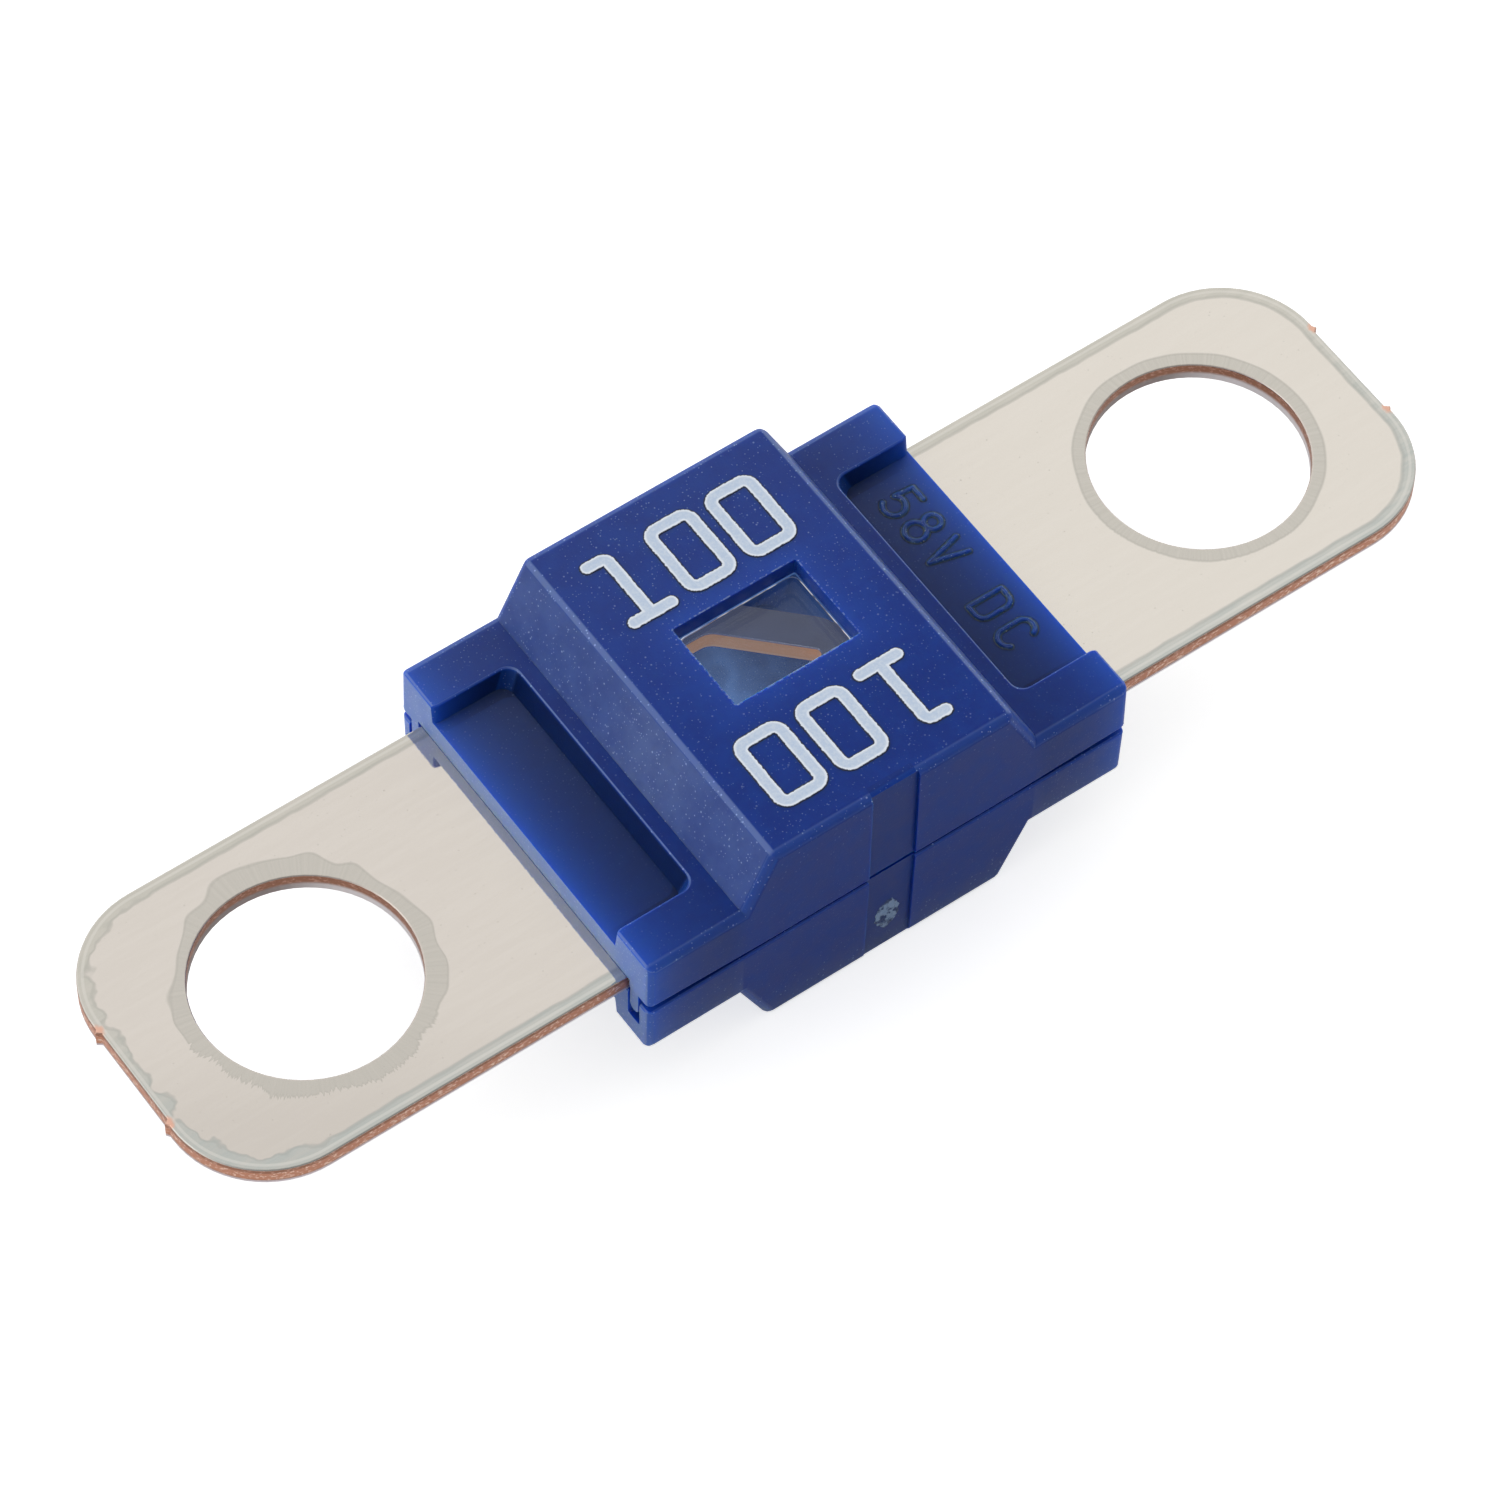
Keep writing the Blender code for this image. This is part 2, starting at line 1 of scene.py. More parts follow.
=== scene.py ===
"""Looks of the bolt-down strip fuse: finishes, printed and moulded marks, light and camera.

Lengths in this file are metres. Inside the materials they are millimetres, because every pattern
reads the object's own coordinates a thousand times enlarged.

Named values that a material takes as a whole hold, in this order:
- a ramp: low and high, and the start and end that it steps between, or nothing for 0 and 1
- a line or band: center, half width and softness
- a noise: scale, detail and, where it isn't 0.5, roughness
- a bump: strength, and depth in metres
"""

import math

import bmesh
import bpy
import numpy as np
from mathutils import Matrix, Vector


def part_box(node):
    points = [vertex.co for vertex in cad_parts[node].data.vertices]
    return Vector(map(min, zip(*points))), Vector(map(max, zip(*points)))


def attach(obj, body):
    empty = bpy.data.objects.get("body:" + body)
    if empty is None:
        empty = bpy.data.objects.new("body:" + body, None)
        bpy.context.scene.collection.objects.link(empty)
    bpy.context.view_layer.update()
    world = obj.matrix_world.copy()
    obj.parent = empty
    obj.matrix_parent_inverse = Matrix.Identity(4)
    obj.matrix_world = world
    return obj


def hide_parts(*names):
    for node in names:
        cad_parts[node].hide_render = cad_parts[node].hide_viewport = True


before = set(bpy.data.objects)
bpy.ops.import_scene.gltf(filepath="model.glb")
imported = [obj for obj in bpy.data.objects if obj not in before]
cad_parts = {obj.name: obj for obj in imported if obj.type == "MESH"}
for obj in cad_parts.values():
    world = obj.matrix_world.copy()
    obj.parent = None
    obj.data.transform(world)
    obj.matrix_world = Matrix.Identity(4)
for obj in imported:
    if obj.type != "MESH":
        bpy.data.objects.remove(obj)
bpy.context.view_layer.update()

MM = 0.001

# Shading of the solids' merged copies
MERGE_DISTANCE = 0.000001
FLAT_ANGLE = math.radians(0.3)
SHARP_ANGLE = math.radians(32)
PANE_EDGE_RADIUS = 0.00006
STRIP_EDGE_RADIUS = 0.000025
EDGE_SEGMENTS = 3
ROUND_PROFILE = 0.5
AREA_POWER = 3
LEAST_LENGTH = 1e-30

# Places read from the solids
upper_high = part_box("upper_shell")[1]
lower_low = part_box("lower_shell")[0]
strip_low, strip_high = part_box("fuse_strip")
pane_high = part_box("window_pane")[1]
PARTING = upper_high.z / 2
PRINT_FACE = upper_high.z
HOUSING_HALF_LENGTH = upper_high.x

# Places measured on the fuse, in metres from the middle of the housing
HOLE_SPACING = 0.030
HOLE_RADIUS = 0.003175
STRIP_HALF_LENGTH = 0.02045
STRIP_CORNER = 0.003
EAR_OFFSET = 0.0017
POCKET_FLOOR = 0.00538
WING_TOP = 0.00608
BLOCK_TOP_HALF = 0.00395
BLOCK_FOOT_HALF = 0.0049
WINDOW_CENTER = (0.00006, 0.00012)
WINDOW_HALF = (0.00204, 0.001485)
CAVITY_HALF_LENGTH = 0.0047
CAVITY_HALF_WIDTH = 0.0053
CAVITY_HALF_HEIGHT = 0.00345

# Slopes of the block's ends: normal along x and z, and distance from the middle in millimetres
slope_run = BLOCK_FOOT_HALF - BLOCK_TOP_HALF
slope_rise = PRINT_FACE - WING_TOP
slope_length = math.hypot(slope_run, slope_rise)
SLOPE_NORMAL = (slope_rise / slope_length, slope_run / slope_length)
SLOPE_DISTANCE = (BLOCK_FOOT_HALF * SLOPE_NORMAL[0] + (WING_TOP - PARTING) * SLOPE_NORMAL[1]) / MM

# Printed current rating: strokes of even width, in metres from the middle of the face.
# Named waves hold a random surface's wavelength and seed.
STROKE_HALF_WIDTH = 0.000195
DIGIT_LOW = 0.002365
DIGIT_HIGH = 0.004555
ONE_STEM = -0.002115
ONE_FLAG_END = -0.002725
ONE_BASE = (-0.002685, -0.001465)
ONE_SHOULDER = 0.0002
ZERO_CENTERS = (-0.00008, 0.00193)
ZERO_HALF_WIDTH = 0.000655
ZERO_CORNER = 0.00028
RATING_TURN_CENTER = (-0.000085, -0.000055)
INK_MARGIN = 0.00003
INK_HEIGHT = 0.00002
INK_FILM = 0.8
INK_LIP = 0.3
INK_UNEVENNESS = 0.05
INK_WAVES = (0.0001, 9)
INK_RAGGEDNESS = 0.0000025
INK_FINE_WAVES = (0.00011, 5)
INK_COARSE_WAVES = (0.0005, 6)
INK_CELL = 0.00002

# Moulded voltage rating on the floor of the right pocket; points of a letter are shares of its size
LETTER_HEIGHT = 0.00114
LETTER_WIDTH = 0.0006
LETTER_HALF_STROKE = 0.000115
LETTER_RISE = 0.00006
LETTER_UNEVENNESS = 0.12
LETTER_WAVES = (0.0003, 3)
LETTER_BASE_X = 0.00623
LETTER_CENTERS = (0.0030, 0.00197, 0.0009, -0.0012, -0.00235)
LETTER_CELL = 0.00002
FIVE_TOP = (0.12, 0.92)
FIVE_STEM_FOOT = (0.04, 0.52)
FIVE_BOWL_PLACE = (0.48, 0.56)
FIVE_BOWL_RADIUS = 0.55
FIVE_BOWL_TURN = (-145, 142)
EIGHT_RINGS = (0.28, 0.22)
D_CORNERS = (0.02, 0.48)
C_OPENING = 25

# Broken-off gate in the recess of the near side
GATE_CENTER = (0.00004, 0.00162)
GATE_HALF = (0.0004, 0.00066)
GATE_REACH = 1.3
GATE_RECESS = 0.00012
GATE_RISE = 0.00007
GATE_LEVEL = 0.7
GATE_LEVEL_LIMITS = (0.1, 1.5)
GATE_LUMPS = 0.35
GATE_LUMP_WAVES = (0.0003, 12)
GATE_CRUMBS = 0.2
GATE_CRUMB_WAVES = (0.00012, 13)
GATE_RAGGEDNESS = 0.00002
GATE_OUTLINE_WAVES = (0.0003, 11)
GATE_CELL = 0.000025

# Raised marks: how their grids meet the outline, and the waves of a random surface
SNAP_SHARE = 0.6
SNAP_PASSES = 3
STEPS_PER_CELL = 50
LEAST_STEEPNESS = 0.1
MARK_SHARP_ANGLE = math.radians(60)
WAVE_COUNT = 28
WAVE_SPREAD = (0.6, 1.8)

# Camera: the photograph's view of the strip's upper face
AIM_POINT = (-0.00109, -0.00087, 0.00454)
VIEW_DISTANCE = 0.18624
VIEW_ELEVATION = math.radians(56.53)
VIEW_HEADING = math.radians(37.11)
VIEW_ROLL = math.radians(1.95)
LENS = 164.2
SENSOR_WIDTH = 36
CLIP_NEAR = 0.01
CLIP_FAR = 10

# Surroundings: brightness 1 is white; the bright side lies along SKY_SIDE, the dim side along -Y
FLOOR_HALF = 1.2
FLOOR_GREY = (0.80, 0.80, 0.80, 1)
FLOOR_SEEN = 0.65
FLOOR_MIRRORED = 0.10
SKY_SIDE = (-0.89, 0.45, 0.0)
SKY_SIDE_RAMP = (0.55, 1.0, 0.0, 0.6)
SKY_DEPTH_RAMP = (-0.8, 0.45, 0.30, 1.05)
MIRRORED_SKY = 1.05
WHITE = (1, 1, 1, 1)
BLACK = (0, 0, 0, 1)
SOFTBOX_POWER = 0.11
SOFTBOX_SIZE = 0.25
SOFTBOX_PLACE = (-0.40, 0.16, 0.30)
SOFTBOX_AIM = (0, 0, 0.004)

# Masks by which way a surface faces: ramps over a part of its normal
UPWARD = (0.5, 0.95)
LEVEL = (0.6, 0.9)
ROUNDED = (0.93, 0.999, 1.0, 0.0)

# Skin of the plastic: layers of specks as cells per millimetre and largest core
SPECK_LAYERS = ((7.0, 0.32), (12.0, 0.42))
SPECK_DENSITY = 0.5
SPECK_HEIGHT = 0.6
CLOUD_NOISE = (1.3, 4.0, 0.6)
GRAIN_NOISE = (14.0, 3.0, 0.6)
NOISE_MIDDLE = 0.5

# Light and shade in the translucent shells, in millimetres
GLOW_REACH = 0.75
END_GLOW_UPWARD = (0.3, 0.9, 1.0, 0.75)
WINDOW_CORNER = 0.06
WINDOW_GLOW = 0.30
WINDOW_GLOW_REACH = 0.7
WINDOW_TOP_LEVEL = (7.4, 7.6)
WELL_BORDER = 0.01
WELL_BOTTOM = 7.0
WELL_SHADE = 0.25
OPEN_FLOOR_START = 5.60
OPEN_FLOOR_MIDDLE = 8.0
OPEN_FLOOR_HALF_WIDTH = 3.87
OPEN_FLOOR_CORNER = 0.42
OPEN_FLOOR_BORDER = (-0.03, 0.03)
RIGHT_FLOOR_SHIFT = 0.25
POCKET_START = (5.1, 5.3)
POCKET_HALF_WIDTH = 4.36
POCKET_BORDER = 0.1
POCKET_TOP = (WING_TOP / MM - 0.12, WING_TOP / MM - 0.03, 1.0, 0.0)
RECESS_MIDDLE = 0.03
RECESS_HALF_WIDTH = 0.72
RECESS_BORDER = 0.02
RECESS_FRONT = -5.5
RECESS_SHADE = 0.22

# Painted sheen on the shells: pale light, in millimetres
SHEEN_ACROSS_TOP = (-4.0, 7.0, 0.0, 0.055)
UNDERSIDE = (BLOCK_FOOT_HALF / MM - 0.1, BLOCK_FOOT_HALF / MM, 0.0, (2 * PARTING - WING_TOP) / MM)
BOUNCE_REACH = 0.8
BOUNCE_UPWARD = (-0.3, 0.3, 0.40, 0.0)
END_FACE_ALONG = (0.8, 0.95)
END_FACE_DEPTH = (0.1, 0.25, 1.0, 0.0)
END_FACE_ACROSS = (4.0, 4.8, 0.56, 0.42)
WINDOW_RIM = (0.02, 0.015, 0.02)
WINDOW_RIM_SCALE = 9.0
WINDOW_RIM_BREAKS = (0.42, 0.62, 0.0, 0.4)
WINDOW_RIM_DEPTH = 0.1
SLOPE_SLANT = (0.97, 0.995)
SLOPE_CLOUDS = (0.3, 0.65, 0.12, 0.15)
SLOPE_MIDDLE = -1.0
SLOPE_ACROSS = (0.3, 2.5, 1.65, 1.12)

# Blue plastic
CLOUDS = (0.35, 0.68)
DEEP_BLUE = (0.0018, 0.031, 0.255, 1)
CLOUDY_BLUE = (0.0026, 0.040, 0.290, 1)
# Darker towards the ends
DARKER_ENDS = (4.6, 5.4, 0.0, 0.28)
DARKER_END_BLUE = (0.002, 0.010, 0.060, 1)
# Painted shade on the pockets' open floors
FLOOR_SHADE = 0.55
FLOOR_SHADE_BLUE = (0.006, 0.016, 0.050, 1)
SHADE_STRENGTH = 0.72
SHADED_BLUE = (0.001, 0.004, 0.022, 1)
# Painted glow where light comes through thin places
GLOW_BLUE = (0.022, 0.125, 0.66, 1)
# Painted glow along the rounded edges, most on upright ones
EDGE_GLOW_BLUE = (0.005, 0.085, 0.46, 1)
UPRIGHT = (0.1, 0.3, 1.0, 0.0)
EDGE_GLOW_BY_UPRIGHT = (0.0, 1.0, 0.35, 0.75)
# Painted sheen: its tint, and its strength on the rounded edges
SHEEN_TINT = (0.38, 0.48, 0.60, 1)
RIM_SHEEN = 0.30
LONG_RIM_SHEEN = 0.24
LONG_RIM_UPWARD = (0.2, 0.5)
LONG_RIM_ALONG = (7.2, 6.8)
LONG_RIM_SIDEWAYS = (0.1, 0.5)
RIM_IN_SHADE = (0.0, 0.2, 1.0, 0.1)
RIM_ON_FLOOR = (0.0, 1.0, 1.0, 0.5)
RIM_UPRIGHT = (0.0, 1.0, 1.0, 0.2)
SPECK_BLUE = (0.34, 0.46, 0.76, 1)
# Specks are the skin's own, with more as painted highlight on edges and in the sheen, and fewer in painted
# shade
SPECKS_BY_HEIGHT = (2.1, 3.0, 0.12, 0.34)
SPECKS_LOST_ON_FLOOR = 0.7
SPECKS_ON_EDGES = 0.4
SPECKS_IN_SHEEN = 3.6
PLASTIC_ROUGHNESS = (0.3, 0.7, 0.34, 0.44)
PLASTIC_SHINE = 0.18
DEPTH_OF_COLOR = (0.2, 0.35, 1.0)
DEPTH_SCALE = 0.0004
PLASTIC_BUMP = (0.18, 0.00002)

# Glow of the cavity behind the window, in millimetres
INNER_LIGHT = 0.28
INNER_BLUE = (0.24, 0.48, 1.0, 1)
SLOPE_WALL = 0.3
BLOTCH_NOISE = (0.9, 1.0)
BLOTCHES = (0.4, 0.6, 0.75, 1.15)
INNER_ACROSS = (2.6, 4.7, 1.0, 0.45)
INNER_ALONG = (0.9, 2.7, 1.05, 0.35)

# Tinned faces of the strip, in millimetres
WANDER_NOISE = (1.1, 3.0, 0.55)
BLOB_NOISE = (1.3, 2.0, 0.45)
SLOW_NOISE = (0.55, 1.0)
FINE_NOISE = (9.0, 3.0, 0.6)
DRAWN_STRETCH = (0.5, 4.0, 1.0)
DRAWN_NOISE = (1.0, 3.0, 0.6)
FACE_ALONG = (-8.0, 8.0)
LEFT_TIN = (0.668, 0.616, 0.560, 1)
RIGHT_TIN = (0.728, 0.680, 0.612, 1)
DRAWN_LINES = (0.35, 0.7, 0.0, 0.07)
DRAWN_TIN = (0.86, 0.82, 0.76, 1)
PIT_DENSITY = 0.05
PIT_DARKNESS = 0.45
PIT_GREY = (0.36, 0.34, 0.31, 1)
# Painted shade towards the near left corner
CORNER_SLANT = 2.0
CORNER_SHADE = (-26.0, -17.0, 0.2, 0.0)
CORNER_SHADE_GREY = (0.36, 0.33, 0.29, 1)
LEFT_END = (-19.0, -16.0, 1.0, 0.0)
RAGGEDNESS = (0.0, 1.0, 0.12, 1.2)
BORDER_DEPTH = (0.34, 0.44, 1.0, 0.0)
BORDER_LINES = (0.2, 0.8, 0.45, 0.85)
TARNISH_ACROSS = (-4.0, 4.0)
NEAR_TARNISH = (0.42, 0.46, 0.44, 1)
FAR_TARNISH = (0.50, 0.49, 0.43, 1)
BORDER_LINE = (0.36, 0.02, 0.07)
BORDER_LINE_STRENGTH = 0.28
BORDER_GREY = (0.34, 0.34, 0.31, 1)
PALE_LINE = (0.17, 0.02, 0.04)
PALE_LINE_STRENGTH = 0.35
PALE_TIN = (0.76, 0.73, 0.67, 1)
OUTER_EDGE = (0.0, 0.07, 0.55, 0.0)
OUTER_TIN = (0.80, 0.76, 0.70, 1)

# Punch marks round the holes: side, reach, spread and teeth of each halo, in millimetres
HALOS = ((-1, 0.56, 1.3, 0.9), (1, 0.44, 0.2, 0.1))
SPOKES_PER_RADIAN = 34.0
SPOKE_NOISE = (1.0, 2.0, 0.6)
TOOTH_TURNS = (-0.6, -1.6)
HALO_BORDER = 0.06
HALO_SPOKES = (-0.3, 0.3, 0.55, 0.8)
HALO_GREY = (0.485, 0.465, 0.415, 1)
HALO_LINE_DEPTH = 0.05
HALO_LINE = (0.015, 0.05)
HALO_LINE_STRENGTH = 0.22
HALO_LINE_GREY = (0.38, 0.37, 0.33, 1)
HOLE_EDGE = (0.0, 0.07, 0.5, 0.0)
HOLE_EDGE_COPPER = (0.80, 0.68, 0.62, 1)
HOLE_WALL = (0.05, 0.3)

# Torn ears at the strip's ends, alike in all four corners
EAR_OUT = 0.05
EAR_RADIUS = 0.22
EAR_RAGGEDNESS = 0.15
EAR_BORDER = (0.0, 0.14, 0.85, 0.0)
EAR_COPPER = (0.78, 0.42, 0.30, 1)

# Bare copper of the cut walls; heights are millimetres above the strip's lower face
WALL_FACING = (0.25, 0.6, 1.0, 0.0)
# Bright spots on the cut copper are painted glints
SPARK_STRETCH = (7.0, 7.0, 12.0)
SPARK_NOISE = (1.0, 2.0, 0.7)
SPARKS = (0.50, 0.66)
COPPER = (0.66, 0.30, 0.19, 1)
COPPER_SPARK = (1.0, 0.74, 0.60, 1)
TORN_COPPER = (0.40, 0.18, 0.11, 1)
TORN_SPARK = (0.62, 0.34, 0.25, 1)
BURNISHED = (0.29, 0.13, 0.06)
# Paler foot of the walls: painted reflection of the table, white where a hole wall faces -X and grey
# elsewhere
HOLE_FOOT = (0.18, 0.34, 0.85, 0.0)
BOUNCE_FACING = (-0.85, -0.25, 1.0, 0.0)
FOOT_SHADE_GREY = (0.36, 0.33, 0.33, 1)
FOOT_REFLECTED_WHITE = (0.95, 0.92, 0.95, 1)
WALL_FOOT = (0.05, 0.14, 0.8, 0.0)
WALL_FOOT_REFLECTION = (0.86, 0.82, 0.88, 1)
# Inside the cavity the link gets painted shade on its faces and brightened copper on its walls
LINK_BORDER = 0.2
LINK_SHADE = 0.9
LINK_SHADE_GREY = (0.16, 0.18, 0.27, 1)
LINK_BRIGHTENED_COPPER = (0.80, 0.41, 0.20, 1)
METALLIC = 0.85
METAL_ROUGHNESS = (0.0, 1.0, 0.05, 0.42)
WANDER_HEIGHT = 2.0
METAL_BUMP = (0.04, 0.00002)

# Clear pane
PANE_TINT = (0.86, 0.88, 0.90, 1)
PANE_INDEX = 1.49
PANE_SHINE = (0.30, 0.32, 0.36, 1)
PANE_ROUGHNESS = 0.02
PANE_SHADOW = (0.9, 0.93, 0.96, 1)
# Painted highlight that glows along the pane's rounded upper edge
PANE_EDGE_FACING = (0.72, 0.15, 0.1)
PANE_EDGE_DEPTH = 0.1
PANE_EDGE_SCALE = 2.2
PANE_EDGE_BREAKS = (0.40, 0.60, 0.08, 1.0)
PANE_EDGE_HIGHLIGHT = (1.0, 0.97, 0.92, 1)
EDGE_LIGHT = 0.45

# Marking ink; depths are millimetres in from its outline
INK_GRAIN_NOISE = (12.0, 3.0, 0.6)
INK_WAVERING = 0.07
INK_PATCHES = (0.35, 0.7)
INK_DULL = (0.56, 0.67, 0.84, 1)
INK_WHITE = (0.66, 0.75, 0.88, 1)
INK_LIP_DEPTH = (0.07, 0.13)
INK_LIP_WHITE = (0.84, 0.90, 0.98, 1)
INK_DARK_BORDER_DEPTH = (0.03, 0.05)
INK_DARK_BORDER = (0.012, 0.020, 0.060, 1)
INK_ROUGHNESS = 0.5
INK_SHINE = 0.3
INK_BUMP = (0.25, 0.00001)

# Torn gate
TORN_NOISE = (3.4, 3.0, 0.65)
TORN_PATCHES = (0.42, 0.56)
TORN_DARK = (0.020, 0.050, 0.16, 1)
TORN_PALE = (0.25, 0.37, 0.57, 1)
TORN_ROUGHNESS = 0.5
TORN_BUMP = (0.5, 0.00004)


class Wiring:
    """Short calls that add nodes to a tree, set or link their inputs and return their outputs."""

    def __init__(self, tree):
        self.tree = tree

    def feed(self, socket, value):
        if isinstance(value, bpy.types.NodeSocket):
            self.tree.links.new(value, socket)
        else:
            socket.default_value = value

    def add(self, kind, **settings):
        node = self.tree.nodes.new(kind)
        for name, value in settings.items():
            setattr(node, name, value)
        return node

    def fill(self, node, **values):
        """Feed a node's inputs by name, with underscores for spaces, and return its outputs."""
        for name, value in values.items():
            self.feed(node.inputs[name.replace("_", " ")], value)
        return node.outputs

    def calculate(self, kind, operation, values):
        node = self.add(kind, operation=operation)
        for socket, value in zip(node.inputs, values):
            self.feed(socket, value)
        return node.outputs

    def math(self, operation, *values):
        return self.calculate("ShaderNodeMath", operation, values)[0]

    def chain(self, operation, first, others):
        for other in others:
            first = self.math(operation, first, other)
        return first

    def plus(self, first, *others):
        return self.chain("ADD", first, others)

    def minus(self, first, second):
        return self.math("SUBTRACT", first, second)

    def times(self, first, *others):
        return self.chain("MULTIPLY", first, others)

    def most(self, first, *others):
        return self.chain("MAXIMUM", first, others)

    def size(self, value):
        return self.math("ABSOLUTE", value)

    def below(self, value, limit):
        return self.math("LESS_THAN", value, limit)

    def over(self, value, limit):
        return self.math("GREATER_THAN", value, limit)

    def falloff(self, distance, reach):
        """exp(-distance / reach)."""
        return self.math("EXPONENT", self.times(distance, -1 / reach))

    def vector(self, operation, *values):
        outputs = self.calculate("ShaderNodeVectorMath", operation, values)
        return outputs["Value" if operation in ("LENGTH", "DOT_PRODUCT") else "Vector"]

    def enlarge(self, vector, scale):
        node = self.add("ShaderNodeVectorMath", operation="SCALE")
        return self.fill(node, Vector=vector, Scale=scale)["Vector"]

    def point(self, **parts):
        return self.fill(self.add("ShaderNodeCombineXYZ"), **parts)[0]

    def axes(self, vector):
        return self.fill(self.add("ShaderNodeSeparateXYZ"), Vector=vector)

    def ramp(self, value, low, high, start=0.0, end=1.0):
        """Smooth step of a value from start at low to end at high."""
        node = self.add("ShaderNodeMapRange", interpolation_type="SMOOTHSTEP")
        return self.fill(node, Value=value, From_Min=low, From_Max=high, To_Min=start, To_Max=end)["Result"]

    def band(self, value, center, half_width, softness):
        """Mask that is one where a value lies within half_width of a center."""
        away = self.size(self.minus(value, center))
        return self.ramp(away, half_width, half_width + softness, 1.0, 0.0)

    def mix(self, factor, first, second):
        node = self.add("ShaderNodeMix", data_type="RGBA")
        return self.fill(node, Factor=factor, A=first, B=second)["Result"]

    def layers(self, color, *tones):
        """Colour with other tones laid over it in turn, each as far as its own mask tells."""
        for mask, tone in tones:
            color = self.mix(mask, color, tone)
        return color

    def noise(self, position, scale, detail=2.0, roughness=0.5):
        node = self.add("ShaderNodeTexNoise")
        return self.fill(node, Vector=position, Scale=scale, Detail=detail, Roughness=roughness)[0]

    def group(self, made, **inputs):
        return self.fill(self.add("ShaderNodeGroup", node_tree=made), **inputs)

    def bump(self, shader, height, strength, distance):
        """Bump of a height map, fed to the shader's normal."""
        node = self.add("ShaderNodeBump")
        self.fill(shader, Normal=self.fill(node, Height=height, Strength=strength, Distance=distance)[0])


def shader_group(name, vectors, values, outputs):
    """Empty node group with named inputs and outputs; returns its tree, wiring, inputs and outputs."""
    tree = bpy.data.node_groups.new(name, "ShaderNodeTree")
    for labels, side, kind in ((vectors, "INPUT", "NodeSocketVector"), (values, "INPUT", "NodeSocketFloat"),
                               (outputs, "OUTPUT", "NodeSocketFloat")):
        for label in labels:
            tree.interface.new_socket(label, in_out=side, socket_type=kind)
    wiring = Wiring(tree)
    return tree, wiring, wiring.add("NodeGroupInput").outputs, wiring.add("NodeGroupOutput").inputs


def skin_group():
    """Moulded skin: sparse pale specks, soft clouds and a fine grain.

    A speck is a Voronoi cell's core, kept where the cell's random value passes Density.
    """
    tree, w, given, out = shader_group(
        "moulded_skin", ["Position"], ["Density"], ["Specks", "Clouds", "Height"])
    position = given["Position"]
    specks = 0.0
    for scale, core in SPECK_LAYERS:
        cells = w.fill(w.add("ShaderNodeTexVoronoi"), Vector=position, Scale=scale)
        chance, share, _ = w.axes(cells["Color"])
        spot = w.ramp(cells["Distance"], 0.0, w.times(share, core), 1.0, 0.0)
        specks = w.most(specks, w.times(spot, w.below(chance, given["Density"])))
    w.feed(out["Specks"], specks)
    w.feed(out["Clouds"], w.noise(position, *CLOUD_NOISE))
    w.feed(out["Height"], w.plus(w.noise(position, *GRAIN_NOISE), w.times(specks, SPECK_HEIGHT)))
    return tree


def fillet_group():
    """Mask of the rounded edges, from how far the normal turns from the moulded flat faces."""
    tree, w, given, out = shader_group("rounded_edges", ["Normal"], [], ["Mask"])
    x, y, z = (w.size(part) for part in w.axes(given["Normal"]))
    slope = w.plus(w.times(x, SLOPE_NORMAL[0]), w.times(z, SLOPE_NORMAL[1]))
    w.feed(out["Mask"], w.ramp(w.most(x, y, z, slope), *ROUNDED))
    return tree


def rectangle_group():
    """Distance in from a rounded rectangle's border, from the usual signed distance formula."""
    tree, w, given, out = shader_group(
        "inside_rectangle", ["Position"], ["Half Length", "Half Width", "Corner"], ["Depth"])
    x, y, _ = w.axes(given["Position"])
    across, up = (w.minus(w.size(part), w.minus(half, given["Corner"]))
                  for part, half in ((x, given["Half Length"]), (y, given["Half Width"])))
    outer = w.vector("LENGTH", w.point(X=w.most(across, 0.0), Y=w.most(up, 0.0)))
    inner = w.math("MINIMUM", w.most(across, up), 0.0)
    w.feed(out["Depth"], w.minus(given["Corner"], w.plus(outer, inner)))
    return tree


def circle_group():
    """Distance out from a circle round an upright axis at X, Y, and the turn round that axis."""
    tree, w, given, out = shader_group(
        "outside_circle", ["Position"], ["X", "Y", "Radius"], ["Distance", "Turn"])
    x, y, _ = w.axes(given["Position"])
    along = w.minus(x, given["X"])
    across = w.minus(y, given["Y"])
    w.feed(out["Distance"], w.minus(w.vector("LENGTH", w.point(X=along, Y=across)), given["Radius"]))
    w.feed(out["Turn"], w.math("ARCTAN2", across, along))
    return tree


